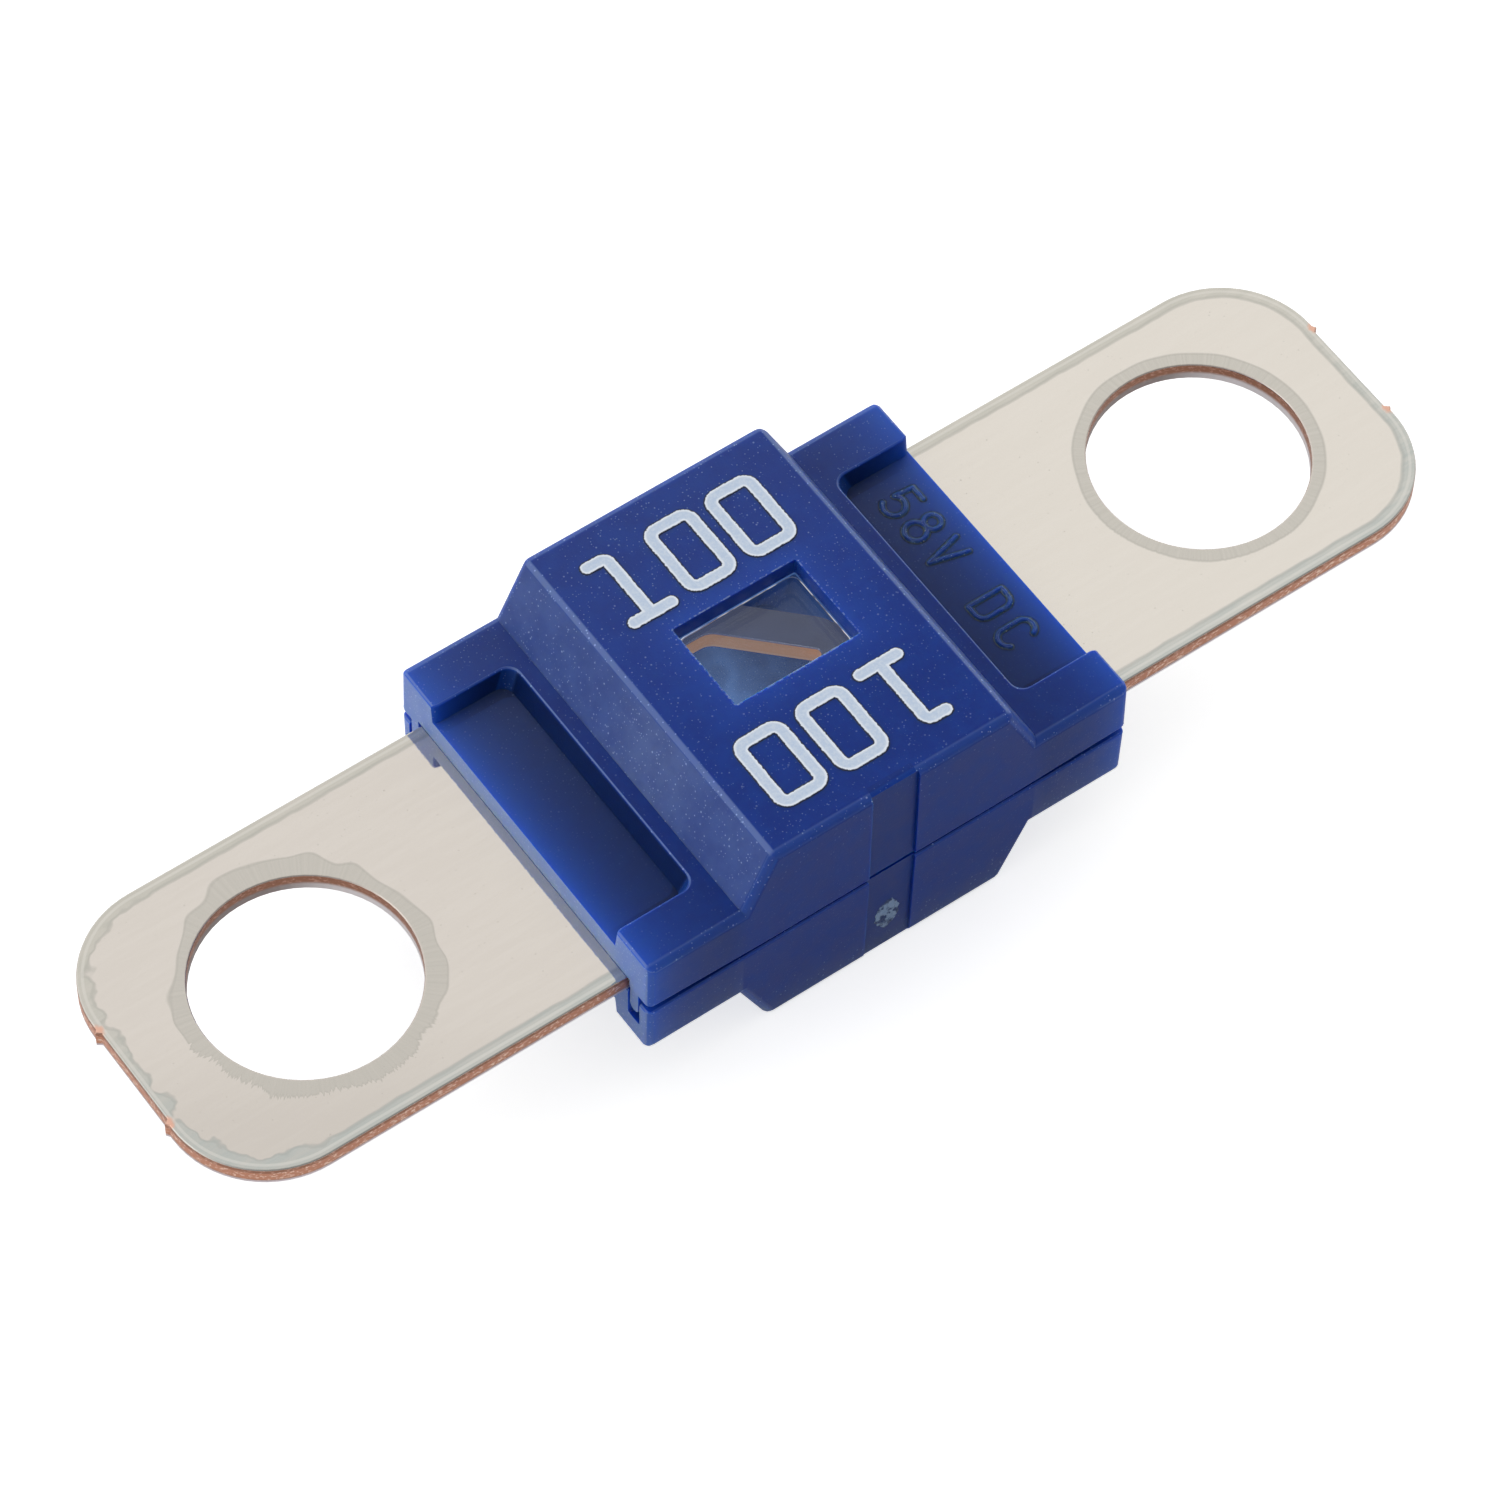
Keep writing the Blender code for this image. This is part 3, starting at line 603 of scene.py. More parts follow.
def shell_light_group():
    """Painted light in the shells: Glow near thin places, Shade in the pockets, Sheen on top.

    Glow falls off as exp(-distance / reach) from the end faces and from the window's edge. Shade is
    one on the pockets' walls and on the strip of floor that mirrors them, and Floor is one on the
    rest of the pockets' floors; both become painted shade. Sheen is painted pale light that grows
    towards +Y on top, towards the table on the sides, covers the end faces and lies on the window's rim.
    """
    tree, w, given, out = shader_group(
        "shell_light", ["Position", "Normal"], ["Window"], ["Glow", "Shade", "Sheen", "Floor"])
    position = given["Position"]
    x, y, z = w.axes(position)
    along, _, upward = w.axes(given["Normal"])
    length = w.size(x)
    to_end = w.minus(HOUSING_HALF_LENGTH / MM, length)
    ends = w.times(w.falloff(to_end, GLOW_REACH), w.ramp(upward, *END_GLOW_UPWARD))
    centered = w.vector("SUBTRACT", position, (WINDOW_CENTER[0] / MM, WINDOW_CENTER[1] / MM, 0))
    past = w.times(-1.0, w.group(
        inside_rectangle, Position=centered, Half_Length=WINDOW_HALF[0] / MM,
        Half_Width=WINDOW_HALF[1] / MM, Corner=WINDOW_CORNER)["Depth"])
    lit = w.times(w.falloff(w.most(past, 0.0), WINDOW_GLOW_REACH), w.ramp(z, *WINDOW_TOP_LEVEL),
                  given["Window"], WINDOW_GLOW)
    w.feed(out["Glow"], w.most(ends, lit))
    shifted = w.plus(length, w.times(w.over(x, 0.0), RIGHT_FLOOR_SHIFT))
    opened = w.vector("SUBTRACT", w.point(X=shifted, Y=y), (OPEN_FLOOR_MIDDLE, 0, 0))
    depth = w.group(inside_rectangle, Position=opened, Half_Length=OPEN_FLOOR_MIDDLE - OPEN_FLOOR_START,
                    Half_Width=OPEN_FLOOR_HALF_WIDTH, Corner=OPEN_FLOOR_CORNER)["Depth"]
    floor = w.times(w.ramp(upward, *LEVEL), w.ramp(depth, *OPEN_FLOOR_BORDER))
    pocket = w.times(w.ramp(z, *POCKET_TOP), w.ramp(length, *POCKET_START),
                     w.band(y, 0.0, POCKET_HALF_WIDTH, POCKET_BORDER))
    well = w.times(w.below(past, WELL_BORDER), w.over(z, WELL_BOTTOM), given["Window"], WELL_SHADE)
    recess = w.times(w.band(x, RECESS_MIDDLE, RECESS_HALF_WIDTH, RECESS_BORDER),
                     w.below(y, RECESS_FRONT), RECESS_SHADE)
    w.feed(out["Shade"], w.most(w.times(pocket, w.minus(1.0, floor)), well, recess))
    w.feed(out["Floor"], w.times(pocket, floor))
    # Painted sheen: towards +Y on top, bounced up from the table, on the end faces and on the window's rim
    above = w.times(w.ramp(y, *SHEEN_ACROSS_TOP), w.ramp(upward, *UPWARD))
    lift = w.minus(z, w.ramp(length, *UNDERSIDE))
    bounced = w.times(w.falloff(lift, BOUNCE_REACH), w.ramp(upward, *BOUNCE_UPWARD))
    end_face = w.times(w.ramp(w.size(along), *END_FACE_ALONG), w.ramp(to_end, *END_FACE_DEPTH),
                       w.ramp(w.size(y), *END_FACE_ACROSS))
    # Painted highlight on the window's rim, broken by noise
    rim_breaks = w.ramp(w.noise(position, WINDOW_RIM_SCALE), *WINDOW_RIM_BREAKS)
    rim = w.times(w.band(past, *WINDOW_RIM), given["Window"], w.ramp(upward, *UPWARD), rim_breaks,
                  w.over(z, PRINT_FACE / MM - WINDOW_RIM_DEPTH))
    w.feed(out["Sheen"], w.most(w.plus(above, bounced), end_face, rim))
    return tree


moulded_skin = skin_group()
rounded_edges = fillet_group()
inside_rectangle = rectangle_group()
outside_circle = circle_group()
shell_light = shell_light_group()


def new_material(name, **plain):
    """Material with a Principled shader; returns it, its wiring and the shader node.

    The plain values go to the shader's sockets. Light from a material's emission is found by
    bounces alone, so that the many faces of a piece do not count as lamps.
    """
    made = bpy.data.materials.new(name)
    made.use_nodes = True
    made.cycles.emission_sampling = "NONE"
    w = Wiring(made.node_tree)
    shader = made.node_tree.nodes["Principled BSDF"]
    w.fill(shader, Emission_Color=BLACK, Emission_Strength=1.0)
    w.fill(shader, **plain)
    return made, w, shader


def own_position(w):
    """The piece's own coordinates in millimetres, and its own normal."""
    source = w.add("ShaderNodeTexCoord").outputs
    return w.enlarge(source["Object"], 1 / MM), source["Normal"]


def cavity_mask(w, position):
    """Mask of the shells' surfaces round the cavity: within its box and inside the sloped walls."""
    x, y, z = (w.size(part) for part in w.axes(w.vector("SUBTRACT", position, (0, 0, PARTING / MM))))
    towards_slope = w.vector("DOT_PRODUCT", w.point(X=x, Z=z), (SLOPE_NORMAL[0], 0, SLOPE_NORMAL[1]))
    return w.times(w.below(x, CAVITY_HALF_LENGTH / MM), w.below(y, CAVITY_HALF_WIDTH / MM),
                   w.below(z, CAVITY_HALF_HEIGHT / MM), w.below(towards_slope, SLOPE_DISTANCE - SLOPE_WALL))


def rim_sheen(w, x, normal, edges, upright, light):
    """Pale light on the rounded edges: least on the block's long and upright ones and in the pockets."""
    _, sideways, upward = w.axes(normal)
    level_or_inner = w.most(w.ramp(upward, *LONG_RIM_UPWARD), w.ramp(w.size(x), *LONG_RIM_ALONG))
    long_edge = w.times(level_or_inner, w.ramp(w.size(sideways), *LONG_RIM_SIDEWAYS))
    strength = w.minus(RIM_SHEEN, w.times(long_edge, LONG_RIM_SHEEN))
    return w.times(edges, strength, w.ramp(light["Shade"], *RIM_IN_SHADE),
                   w.ramp(light["Floor"], *RIM_ON_FLOOR), w.ramp(upright, *RIM_UPRIGHT))


def slope_sheen(w, y, height, normal, clouds):
    """Pale light on the block's two slopes, strongest where y is near SLOPE_MIDDLE."""
    slant = w.vector("DOT_PRODUCT", w.vector("ABSOLUTE", normal), (SLOPE_NORMAL[0], 0, SLOPE_NORMAL[1]))
    on_slope = w.times(w.ramp(slant, *SLOPE_SLANT), w.over(height, (WING_TOP - PARTING) / MM))
    across = w.ramp(w.size(w.minus(y, SLOPE_MIDDLE)), *SLOPE_ACROSS)
    return w.times(on_slope, w.ramp(clouds, *SLOPE_CLOUDS), across)


def moulded_blue(name, window):
    """Blue moulded plastic: darker towards the ends, with painted glow where light comes through thin
    edges.
    """
    made, w, shader = new_material(
        name, Specular_IOR_Level=PLASTIC_SHINE, Subsurface_Weight=1.0,
        Subsurface_Radius=DEPTH_OF_COLOR, Subsurface_Scale=DEPTH_SCALE)
    position, normal = own_position(w)
    x, y, z = w.axes(position)
    height = w.size(w.minus(z, PARTING / MM))
    skin = w.group(moulded_skin, Position=position, Density=SPECK_DENSITY)
    light = w.group(shell_light, Position=position, Normal=normal, Window=window)
    edges = w.group(rounded_edges, Normal=normal)["Mask"]
    upright = w.ramp(w.size(w.axes(normal)[2]), *UPRIGHT)
    # Painted sheen on the rounded edges and on the slopes, added to the group's sheen
    rims = rim_sheen(w, x, normal, edges, upright, light)
    sheen = w.plus(light["Sheen"], slope_sheen(w, y, height, normal, skin["Clouds"]), rims)
    # Specks: fewer in painted shade, more as painted highlight on edges and in the sheen
    covered = w.most(light["Shade"], w.times(light["Floor"], SPECKS_LOST_ON_FLOOR))
    open_skin = w.times(w.minus(1.0, covered), w.ramp(height, *SPECKS_BY_HEIGHT))
    speckle = w.plus(open_skin, w.times(edges, SPECKS_ON_EDGES), w.times(sheen, SPECKS_IN_SHEEN))
    # Own cloudy blue, darker towards the ends, then painted shade, painted glow, painted sheen and specks
    color = w.layers(
        w.mix(w.ramp(skin["Clouds"], *CLOUDS), DEEP_BLUE, CLOUDY_BLUE),
        (w.ramp(w.size(x), *DARKER_ENDS), DARKER_END_BLUE),
        (w.times(light["Floor"], FLOOR_SHADE), FLOOR_SHADE_BLUE),
        (w.times(light["Shade"], SHADE_STRENGTH), SHADED_BLUE),
        (light["Glow"], GLOW_BLUE),
        (w.times(edges, w.ramp(upright, *EDGE_GLOW_BY_UPRIGHT)), EDGE_GLOW_BLUE),
        (sheen, SHEEN_TINT),
        (w.times(skin["Specks"], speckle), SPECK_BLUE))
    # Painted glow of the cavity, seen through the window
    blotches = w.ramp(w.noise(position, *BLOTCH_NOISE), *BLOTCHES)
    inside = w.times(cavity_mask(w, position), blotches, w.ramp(y, *INNER_ACROSS),
                     w.ramp(x, *INNER_ALONG), INNER_LIGHT)
    w.fill(shader, Base_Color=color, Roughness=w.ramp(skin["Clouds"], *PLASTIC_ROUGHNESS),
           Emission_Color=w.mix(inside, BLACK, INNER_BLUE))
    w.bump(shader, skin["Height"], *PLASTIC_BUMP)
    return made


def tin_face(w, position, blobs, drawn):
    """Colour of the tinned faces: faint drawing lines and pits, painted shade towards the near left corner,
    and a tarnished, ragged border.
    """
    x, y, _ = w.axes(position)
    pits = w.group(moulded_skin, Position=position, Density=PIT_DENSITY)["Specks"]
    depth = w.group(inside_rectangle, Position=position, Half_Length=STRIP_HALF_LENGTH / MM,
                    Half_Width=strip_high.y / MM, Corner=STRIP_CORNER / MM)["Depth"]
    raggedness = w.ramp(w.ramp(x, *LEFT_END), *RAGGEDNESS)
    margin = w.plus(depth, w.times(w.minus(blobs, NOISE_MIDDLE), raggedness))
    border = w.times(w.ramp(margin, *BORDER_DEPTH), w.ramp(drawn, *BORDER_LINES))
    return w.layers(
        w.mix(w.ramp(x, *FACE_ALONG), LEFT_TIN, RIGHT_TIN),
        (w.ramp(drawn, *DRAWN_LINES), DRAWN_TIN),
        (w.times(pits, PIT_DARKNESS), PIT_GREY),
        (w.ramp(w.plus(x, w.times(y, CORNER_SLANT)), *CORNER_SHADE), CORNER_SHADE_GREY),
        (border, w.mix(w.ramp(y, *TARNISH_ACROSS), NEAR_TARNISH, FAR_TARNISH)),
        (w.times(w.band(margin, *BORDER_LINE), BORDER_LINE_STRENGTH), BORDER_GREY),
        (w.times(w.band(depth, *PALE_LINE), PALE_LINE_STRENGTH), PALE_TIN),
        (w.ramp(depth, *OUTER_EDGE), OUTER_TIN))


def punch_halo(w, position, color, slow, side, reach, spread, teeth):
    """Colour with one hole's punch halo laid over it, and a mask that is zero on the hole's wall."""
    ring = w.group(outside_circle, Position=position, X=side * HOLE_SPACING / 2 / MM,
                   Radius=HOLE_RADIUS / MM)
    turns = w.point(X=w.times(ring["Turn"], SPOKES_PER_RADIAN))
    spokes = w.minus(w.noise(turns, *SPOKE_NOISE), NOISE_MIDDLE)
    toothed = w.times(spokes, w.ramp(ring["Turn"], *TOOTH_TURNS, 0.0, teeth))
    out = w.plus(ring["Distance"], w.times(w.minus(slow, NOISE_MIDDLE), spread), toothed)
    halo = w.times(w.ramp(out, reach - HALO_BORDER, reach, 1.0, 0.0), w.ramp(spokes, *HALO_SPOKES))
    line = w.times(w.band(out, reach - HALO_LINE_DEPTH, *HALO_LINE), HALO_LINE_STRENGTH)
    color = w.layers(color, (halo, HALO_GREY), (line, HALO_LINE_GREY),
                     (w.ramp(ring["Distance"], *HOLE_EDGE), HOLE_EDGE_COPPER))
    return color, w.ramp(ring["Distance"], *HOLE_WALL)


def cut_copper(w, position, normal, away_from_holes):
    """Colour of the cut walls: a burnished band between torn copper with painted glints, paler at the foot
    with a painted reflection of the table.
    """
    height = w.minus(w.axes(position)[2], strip_low.z / MM)
    # Painted glints
    sparks = w.ramp(w.noise(w.vector("MULTIPLY", position, SPARK_STRETCH), *SPARK_NOISE), *SPARKS)
    burnished = w.times(w.band(height, *BURNISHED), away_from_holes)
    # Painted reflection of the table at the foot of the hole walls, painted shade where they face away
    bounced = w.mix(w.ramp(w.axes(normal)[0], *BOUNCE_FACING), FOOT_SHADE_GREY, FOOT_REFLECTED_WHITE)
    return w.layers(
        w.mix(sparks, TORN_COPPER, TORN_SPARK),
        (burnished, w.mix(sparks, COPPER, COPPER_SPARK)),
        (w.times(w.ramp(height, *HOLE_FOOT), w.minus(1.0, away_from_holes)), bounced),
        (w.times(w.ramp(height, *WALL_FOOT), away_from_holes), WALL_FOOT_REFLECTION))


def tinned_copper(name):
    """Tin-plated copper strip: bare copper on its cut walls, punch marks round its holes."""
    made, w, shader = new_material(name, Metallic=METALLIC)
    position, normal = own_position(w)
    wander = w.noise(position, *WANDER_NOISE)
    blobs = w.noise(position, *BLOB_NOISE)
    slow = w.noise(position, *SLOW_NOISE)
    fine = w.noise(position, *FINE_NOISE)
    drawn = w.noise(w.vector("MULTIPLY", position, DRAWN_STRETCH), *DRAWN_NOISE)
    color = tin_face(w, position, blobs, drawn)
    away_from_holes = 1.0
    for halo in HALOS:
        color, away_from_hole = punch_halo(w, position, color, slow, *halo)
        away_from_holes = w.times(away_from_holes, away_from_hole)
    ear = w.group(outside_circle, Position=w.vector("ABSOLUTE", position),
                  X=STRIP_HALF_LENGTH / MM + EAR_OUT, Y=EAR_OFFSET / MM, Radius=EAR_RADIUS)["Distance"]
    torn = w.ramp(w.plus(ear, w.times(fine, EAR_RAGGEDNESS)), *EAR_BORDER)
    # Inside the cavity: painted shade on the link's faces, brightened copper on its walls and a painted
    # glow
    link = w.ramp(w.size(w.axes(position)[0]), CAVITY_HALF_LENGTH / MM - LINK_BORDER,
                  CAVITY_HALF_LENGTH / MM, 1.0, 0.0)
    link_shade = w.times(link, LINK_SHADE)
    copper = w.mix(link_shade, cut_copper(w, position, normal, away_from_holes), LINK_BRIGHTENED_COPPER)
    wall = w.ramp(w.size(w.axes(normal)[2]), *WALL_FACING)
    color = w.layers(color, (torn, EAR_COPPER), (link_shade, LINK_SHADE_GREY), (wall, copper))
    w.fill(shader, Base_Color=color, Roughness=w.ramp(wall, *METAL_ROUGHNESS),
           Emission_Color=w.mix(w.times(link, INNER_LIGHT), BLACK, color))
    w.bump(shader, w.plus(fine, w.times(wander, WANDER_HEIGHT)), *METAL_BUMP)
    return made


def clear_pane(name):
    """Clear moulded pane; shadow rays pass through it, so that daylight reaches the link."""
    made, w, shader = new_material(
        name, Base_Color=PANE_TINT, Transmission_Weight=1.0, IOR=PANE_INDEX,
        Specular_Tint=PANE_SHINE, Roughness=PANE_ROUGHNESS)
    position, normal = own_position(w)
    # Painted highlight: the pane's rounded upper edge glows in broken patches
    rounded = w.times(w.band(w.axes(normal)[2], *PANE_EDGE_FACING),
                      w.over(w.axes(position)[2], pane_high.z / MM - PANE_EDGE_DEPTH))
    broken = w.ramp(w.noise(position, PANE_EDGE_SCALE), *PANE_EDGE_BREAKS)
    edge_light = w.times(rounded, broken, EDGE_LIGHT)
    w.fill(shader, Emission_Color=w.mix(edge_light, BLACK, PANE_EDGE_HIGHLIGHT))
    through = w.fill(w.add("ShaderNodeBsdfTransparent"), Color=PANE_SHADOW)
    blend = w.add("ShaderNodeMixShader")
    w.feed(blend.inputs[0], w.add("ShaderNodeLightPath").outputs["Is Shadow Ray"])
    w.feed(blend.inputs[1], shader.outputs[0])
    w.feed(blend.inputs[2], through[0])
    w.fill(made.node_tree.nodes["Material Output"], Surface=blend.outputs[0])
    return made


def marking_ink(name):
    """Hot-stamped white: dark at its border, brightest just inside it, greyer in the middle."""
    made, w, shader = new_material(name, Roughness=INK_ROUGHNESS, Specular_IOR_Level=INK_SHINE)
    position, _ = own_position(w)
    depth = w.math("DIVIDE", w.add("ShaderNodeAttribute", attribute_name="depth").outputs["Fac"], MM)
    grain = w.noise(position, *INK_GRAIN_NOISE)
    wavering = w.plus(depth, w.times(w.minus(grain, NOISE_MIDDLE), INK_WAVERING))
    middle = w.mix(w.ramp(grain, *INK_PATCHES), INK_DULL, INK_WHITE)
    whites = w.mix(w.ramp(wavering, *INK_LIP_DEPTH), INK_LIP_WHITE, middle)
    w.fill(shader, Base_Color=w.mix(w.ramp(wavering, *INK_DARK_BORDER_DEPTH), INK_DARK_BORDER, whites))
    w.bump(shader, grain, *INK_BUMP)
    return made


def torn_plastic(name):
    """Broken gate: stress-whitened plastic with dark hollows."""
    made, w, shader = new_material(name, Roughness=TORN_ROUGHNESS)
    position, _ = own_position(w)
    blotches = w.noise(position, *TORN_NOISE)
    w.fill(shader, Base_Color=w.mix(w.ramp(blotches, *TORN_PATCHES), TORN_DARK, TORN_PALE))
    w.bump(shader, blotches, *TORN_BUMP)
    return made


def even_normals(mesh):
    """Shading normals that keep flat faces flat and let their fillets roll off smoothly.

    The normal at a face's corner is the sum of area^AREA_POWER * normal over the faces round that
    vertex which lean less than SHARP_ANGLE from the face itself, so the largest of them decides.
    """
    corner_vertex = np.empty(len(mesh.loops), int)
    mesh.loops.foreach_get("vertex_index", corner_vertex)
    sizes = np.empty(len(mesh.polygons), int)
    mesh.polygons.foreach_get("loop_total", sizes)
    areas = np.empty(len(sizes))
    mesh.polygons.foreach_get("area", areas)
    normals = np.empty(3 * len(sizes))
    mesh.polygons.foreach_get("normal", normals)
    normals = normals.reshape(-1, 3)
    corner_face = np.repeat(np.arange(len(sizes)), sizes)
    by_vertex = corner_face[np.argsort(corner_vertex, kind="stable")]
    counts = np.bincount(corner_vertex)
    starts = np.cumsum(counts) - counts
    place = np.arange(counts.max())
    there = place < counts[corner_vertex, None]
    around = by_vertex[np.where(there, starts[corner_vertex, None] + place, 0)]
    alike = np.einsum("ij,ikj->ik", normals[corner_face], normals[around]) > math.cos(SHARP_ANGLE)
    weights = there * alike * (areas[around] / areas.max()) ** AREA_POWER
    total = np.einsum("ik,ikj->ij", weights, normals[around])
    total /= np.maximum(np.linalg.norm(total, axis=1, keepdims=True), LEAST_LENGTH)
    mesh.normals_split_custom_set(total.tolist())


def shown(name, data):
    """Object of some data, put into the scene."""
    piece = bpy.data.objects.new(name, data)
    bpy.context.scene.collection.objects.link(piece)
    return piece


def dressed_node(node, finish, edge_radius=0.0):
    """Merged, smoothly shaded copy that is shown in place of a solid; its sharp edges may be rounded."""
    solid = bmesh.new()
    solid.from_mesh(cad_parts[node].data)
    bmesh.ops.remove_doubles(solid, verts=solid.verts, dist=MERGE_DISTANCE)
    bmesh.ops.dissolve_limit(solid, angle_limit=FLAT_ANGLE, verts=solid.verts, edges=solid.edges)
    if edge_radius:
        sharp = [edge for edge in solid.edges if edge.calc_face_angle(0) > SHARP_ANGLE]
        bmesh.ops.bevel(solid, geom=sharp, offset=edge_radius, segments=EDGE_SEGMENTS,
                        profile=ROUND_PROFILE, affect="EDGES", clamp_overlap=True)
    mesh = bpy.data.meshes.new(f"{node}_dressed")
    solid.to_mesh(mesh)
    solid.free()
    mesh.shade_smooth()
    mesh.set_sharp_from_angle(angle=SHARP_ANGLE)
    even_normals(mesh)
    mesh.materials.clear()
    mesh.materials.append(finish)
    piece = shown(f"{node}_dressed", mesh)
    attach(piece, "root")
    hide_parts(node)


def to_segment(x, y, start, end):
    """Distance to a segment: the nearest point is the start plus a clamped share of the way to the end."""
    along = np.subtract(end, start)
    share = ((x - start[0]) * along[0] + (y - start[1]) * along[1]) / (along @ along)
    share = np.clip(share, 0.0, 1.0)
    return np.hypot(x - start[0] - share * along[0], y - start[1] - share * along[1])


def to_arc(x, y, center, radius, start, end):
    """Distance to a circular arc: off its circle within its angles, else off its nearer end."""
    across = np.hypot(x - center[0], y - center[1])
    turn = (np.degrees(np.arctan2(y - center[1], x - center[0])) - start) % 360
    ends = [np.hypot(x - center[0] - radius * math.cos(math.radians(angle)),
                     y - center[1] - radius * math.sin(math.radians(angle))) for angle in (start, end)]
    return np.where(turn <= end - start, np.abs(across - radius), np.minimum(*ends))


def to_loop(x, y, center, half, left_corner, right_corner):
    """Distance to a rounded rectangle's line, with one corner radius on each side of the middle."""
    corner = np.where(x < center[0], left_corner, right_corner)
    across = np.abs(x - center[0]) - half[0] + corner
    up = np.abs(y - center[1]) - half[1] + corner
    outside = np.hypot(np.maximum(across, 0), np.maximum(up, 0))
    return np.abs(outside + np.minimum(np.maximum(across, up), 0) - corner)


def nearest(*distances):
    """The least of several distances, point by point."""
    return np.minimum.reduce(distances)


def wobble(x, y, wavelength, seed):
    """Smooth random surface of about unit height: many plane waves with seeded phases, added up."""
    random = np.random.default_rng(seed)
    turns = random.uniform(0, 2 * np.pi, WAVE_COUNT)
    phases = random.uniform(0, 2 * np.pi, WAVE_COUNT)
    lengths = wavelength * random.uniform(*WAVE_SPREAD, WAVE_COUNT)
    waves = np.zeros_like(x)
    for turn, phase, length in zip(turns, phases, lengths):
        waves += np.cos((x * np.cos(turn) + y * np.sin(turn)) * 2 * np.pi / length + phase)
    return waves / math.sqrt(WAVE_COUNT / 2)


def relief(name, distance, low, high, cell, profile, place, finish):
    """Closed raised shape on a face, over the area where distance(x, y) is below zero.

    The surface is a grid of x and y. Points within about half a cell of the outline slide on to it
    along the slope of the distance, and are level with the face. A point further in stands
    profile(depth, x, y) high, where its depth is minus its distance. A flat sheet that shares the
    outline's points closes the shape underneath. place turns x, y and height into the frame.
    """
    x, y = np.meshgrid(np.arange(low[0], high[0], cell), np.arange(low[1], high[1], cell), indexing="ij")
    away = distance(x, y)
    near = np.abs(away) < SNAP_SHARE * cell
    step = cell / STEPS_PER_CELL
    for _ in range(SNAP_PASSES):
        slope_x = (distance(x + step, y) - distance(x - step, y)) / (2 * step)
        slope_y = (distance(x, y + step) - distance(x, y - step)) / (2 * step)
        steepness = np.maximum(slope_x ** 2 + slope_y ** 2, LEAST_STEEPNESS)
        shift = np.where(near, distance(x, y) / steepness, 0.0)
        x = x - shift * slope_x
        y = y - shift * slope_y
    depth = np.where(near, 0.0, -away)
    kept = near | (away < 0)
    rise = np.where(depth > 0, profile(depth, x, y), 0.0)
    ids = np.arange(x.size).reshape(x.shape)
    corners = np.stack([ids[:-1, :-1], ids[1:, :-1], ids[1:, 1:], ids[:-1, 1:]], axis=-1).reshape(-1, 4)
    there = kept.ravel()[corners]
    raised = depth.ravel()[corners] > 0
    quads = corners[there.all(axis=1) & raised.any(axis=1)]
    triangles = []
    for gap in range(4):
        others = [(gap + turn) % 4 for turn in (1, 2, 3)]
        lone = ~there[:, gap] & there[:, others].all(axis=1) & raised[:, others].any(axis=1)
        triangles.append(corners[lone][:, others])
    triangles = np.concatenate(triangles)
    faces = np.concatenate([quads.ravel(), triangles.ravel()])
    used, faces = np.unique(faces, return_inverse=True)
    quads = faces[:quads.size].reshape(-1, 4)
    triangles = faces[quads.size:].reshape(-1, 3)
    flat_x, flat_y, flat_rise, flat_depth = (part.ravel()[used] for part in (x, y, rise, depth))
    raised = flat_depth > 0
    below = np.where(raised, len(used) + np.cumsum(raised) - 1, np.arange(len(used)))
    points = np.concatenate([place(flat_x, flat_y, flat_rise),
                             place(flat_x[raised], flat_y[raised], np.zeros(raised.sum()))])
    polygons = [*quads.tolist(), *triangles.tolist(),
                *below[quads[:, ::-1]].tolist(), *below[triangles[:, ::-1]].tolist()]
    mesh = bpy.data.meshes.new(name)
    mesh.from_pydata(points.tolist(), [], polygons)
    stored = mesh.attributes.new("depth", "FLOAT", "POINT")
    stored.data.foreach_set("value", np.concatenate([flat_depth, flat_depth[raised]]).astype(np.float32))
    mesh.shade_smooth()
    mesh.set_sharp_from_angle(angle=MARK_SHARP_ANGLE)
    mesh.materials.append(finish)
    piece = shown(name, mesh)
    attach(piece, "root")


def placing(origin, across, up, outwards):
    """Function that turns x, y and height on a face into points of the frame."""
    origin, across, up, outwards = (np.array(part, float) for part in (origin, across, up, outwards))

    def place(x, y, height):
        return origin + x[:, None] * across + y[:, None] * up + height[:, None] * outwards

    return place


def rating_distance(x, y):
    """Distance outside the strokes of the figure 100."""
    shoulder = (ONE_STEM - ONE_SHOULDER, DIGIT_HIGH - ONE_SHOULDER)
    one = nearest(
        to_segment(x, y, (ONE_STEM, DIGIT_LOW), (ONE_STEM, shoulder[1])),
        to_arc(x, y, shoulder, ONE_SHOULDER, 0, 90),
        to_segment(x, y, (shoulder[0], DIGIT_HIGH), (ONE_FLAG_END, DIGIT_HIGH)),
        to_segment(x, y, (ONE_BASE[0], DIGIT_LOW), (ONE_BASE[1], DIGIT_LOW)))
    middle = (DIGIT_LOW + DIGIT_HIGH) / 2
    half = (ZERO_HALF_WIDTH, (DIGIT_HIGH - DIGIT_LOW) / 2)
    zeros = [to_loop(x, y, (center, middle), half, ZERO_CORNER, ZERO_CORNER) for center in ZERO_CENTERS]
    ragged = INK_RAGGEDNESS * (wobble(x, y, *INK_FINE_WAVES) + wobble(x, y, *INK_COARSE_WAVES))
    return nearest(one, *zeros) - STROKE_HALF_WIDTH - INK_MARGIN + ragged


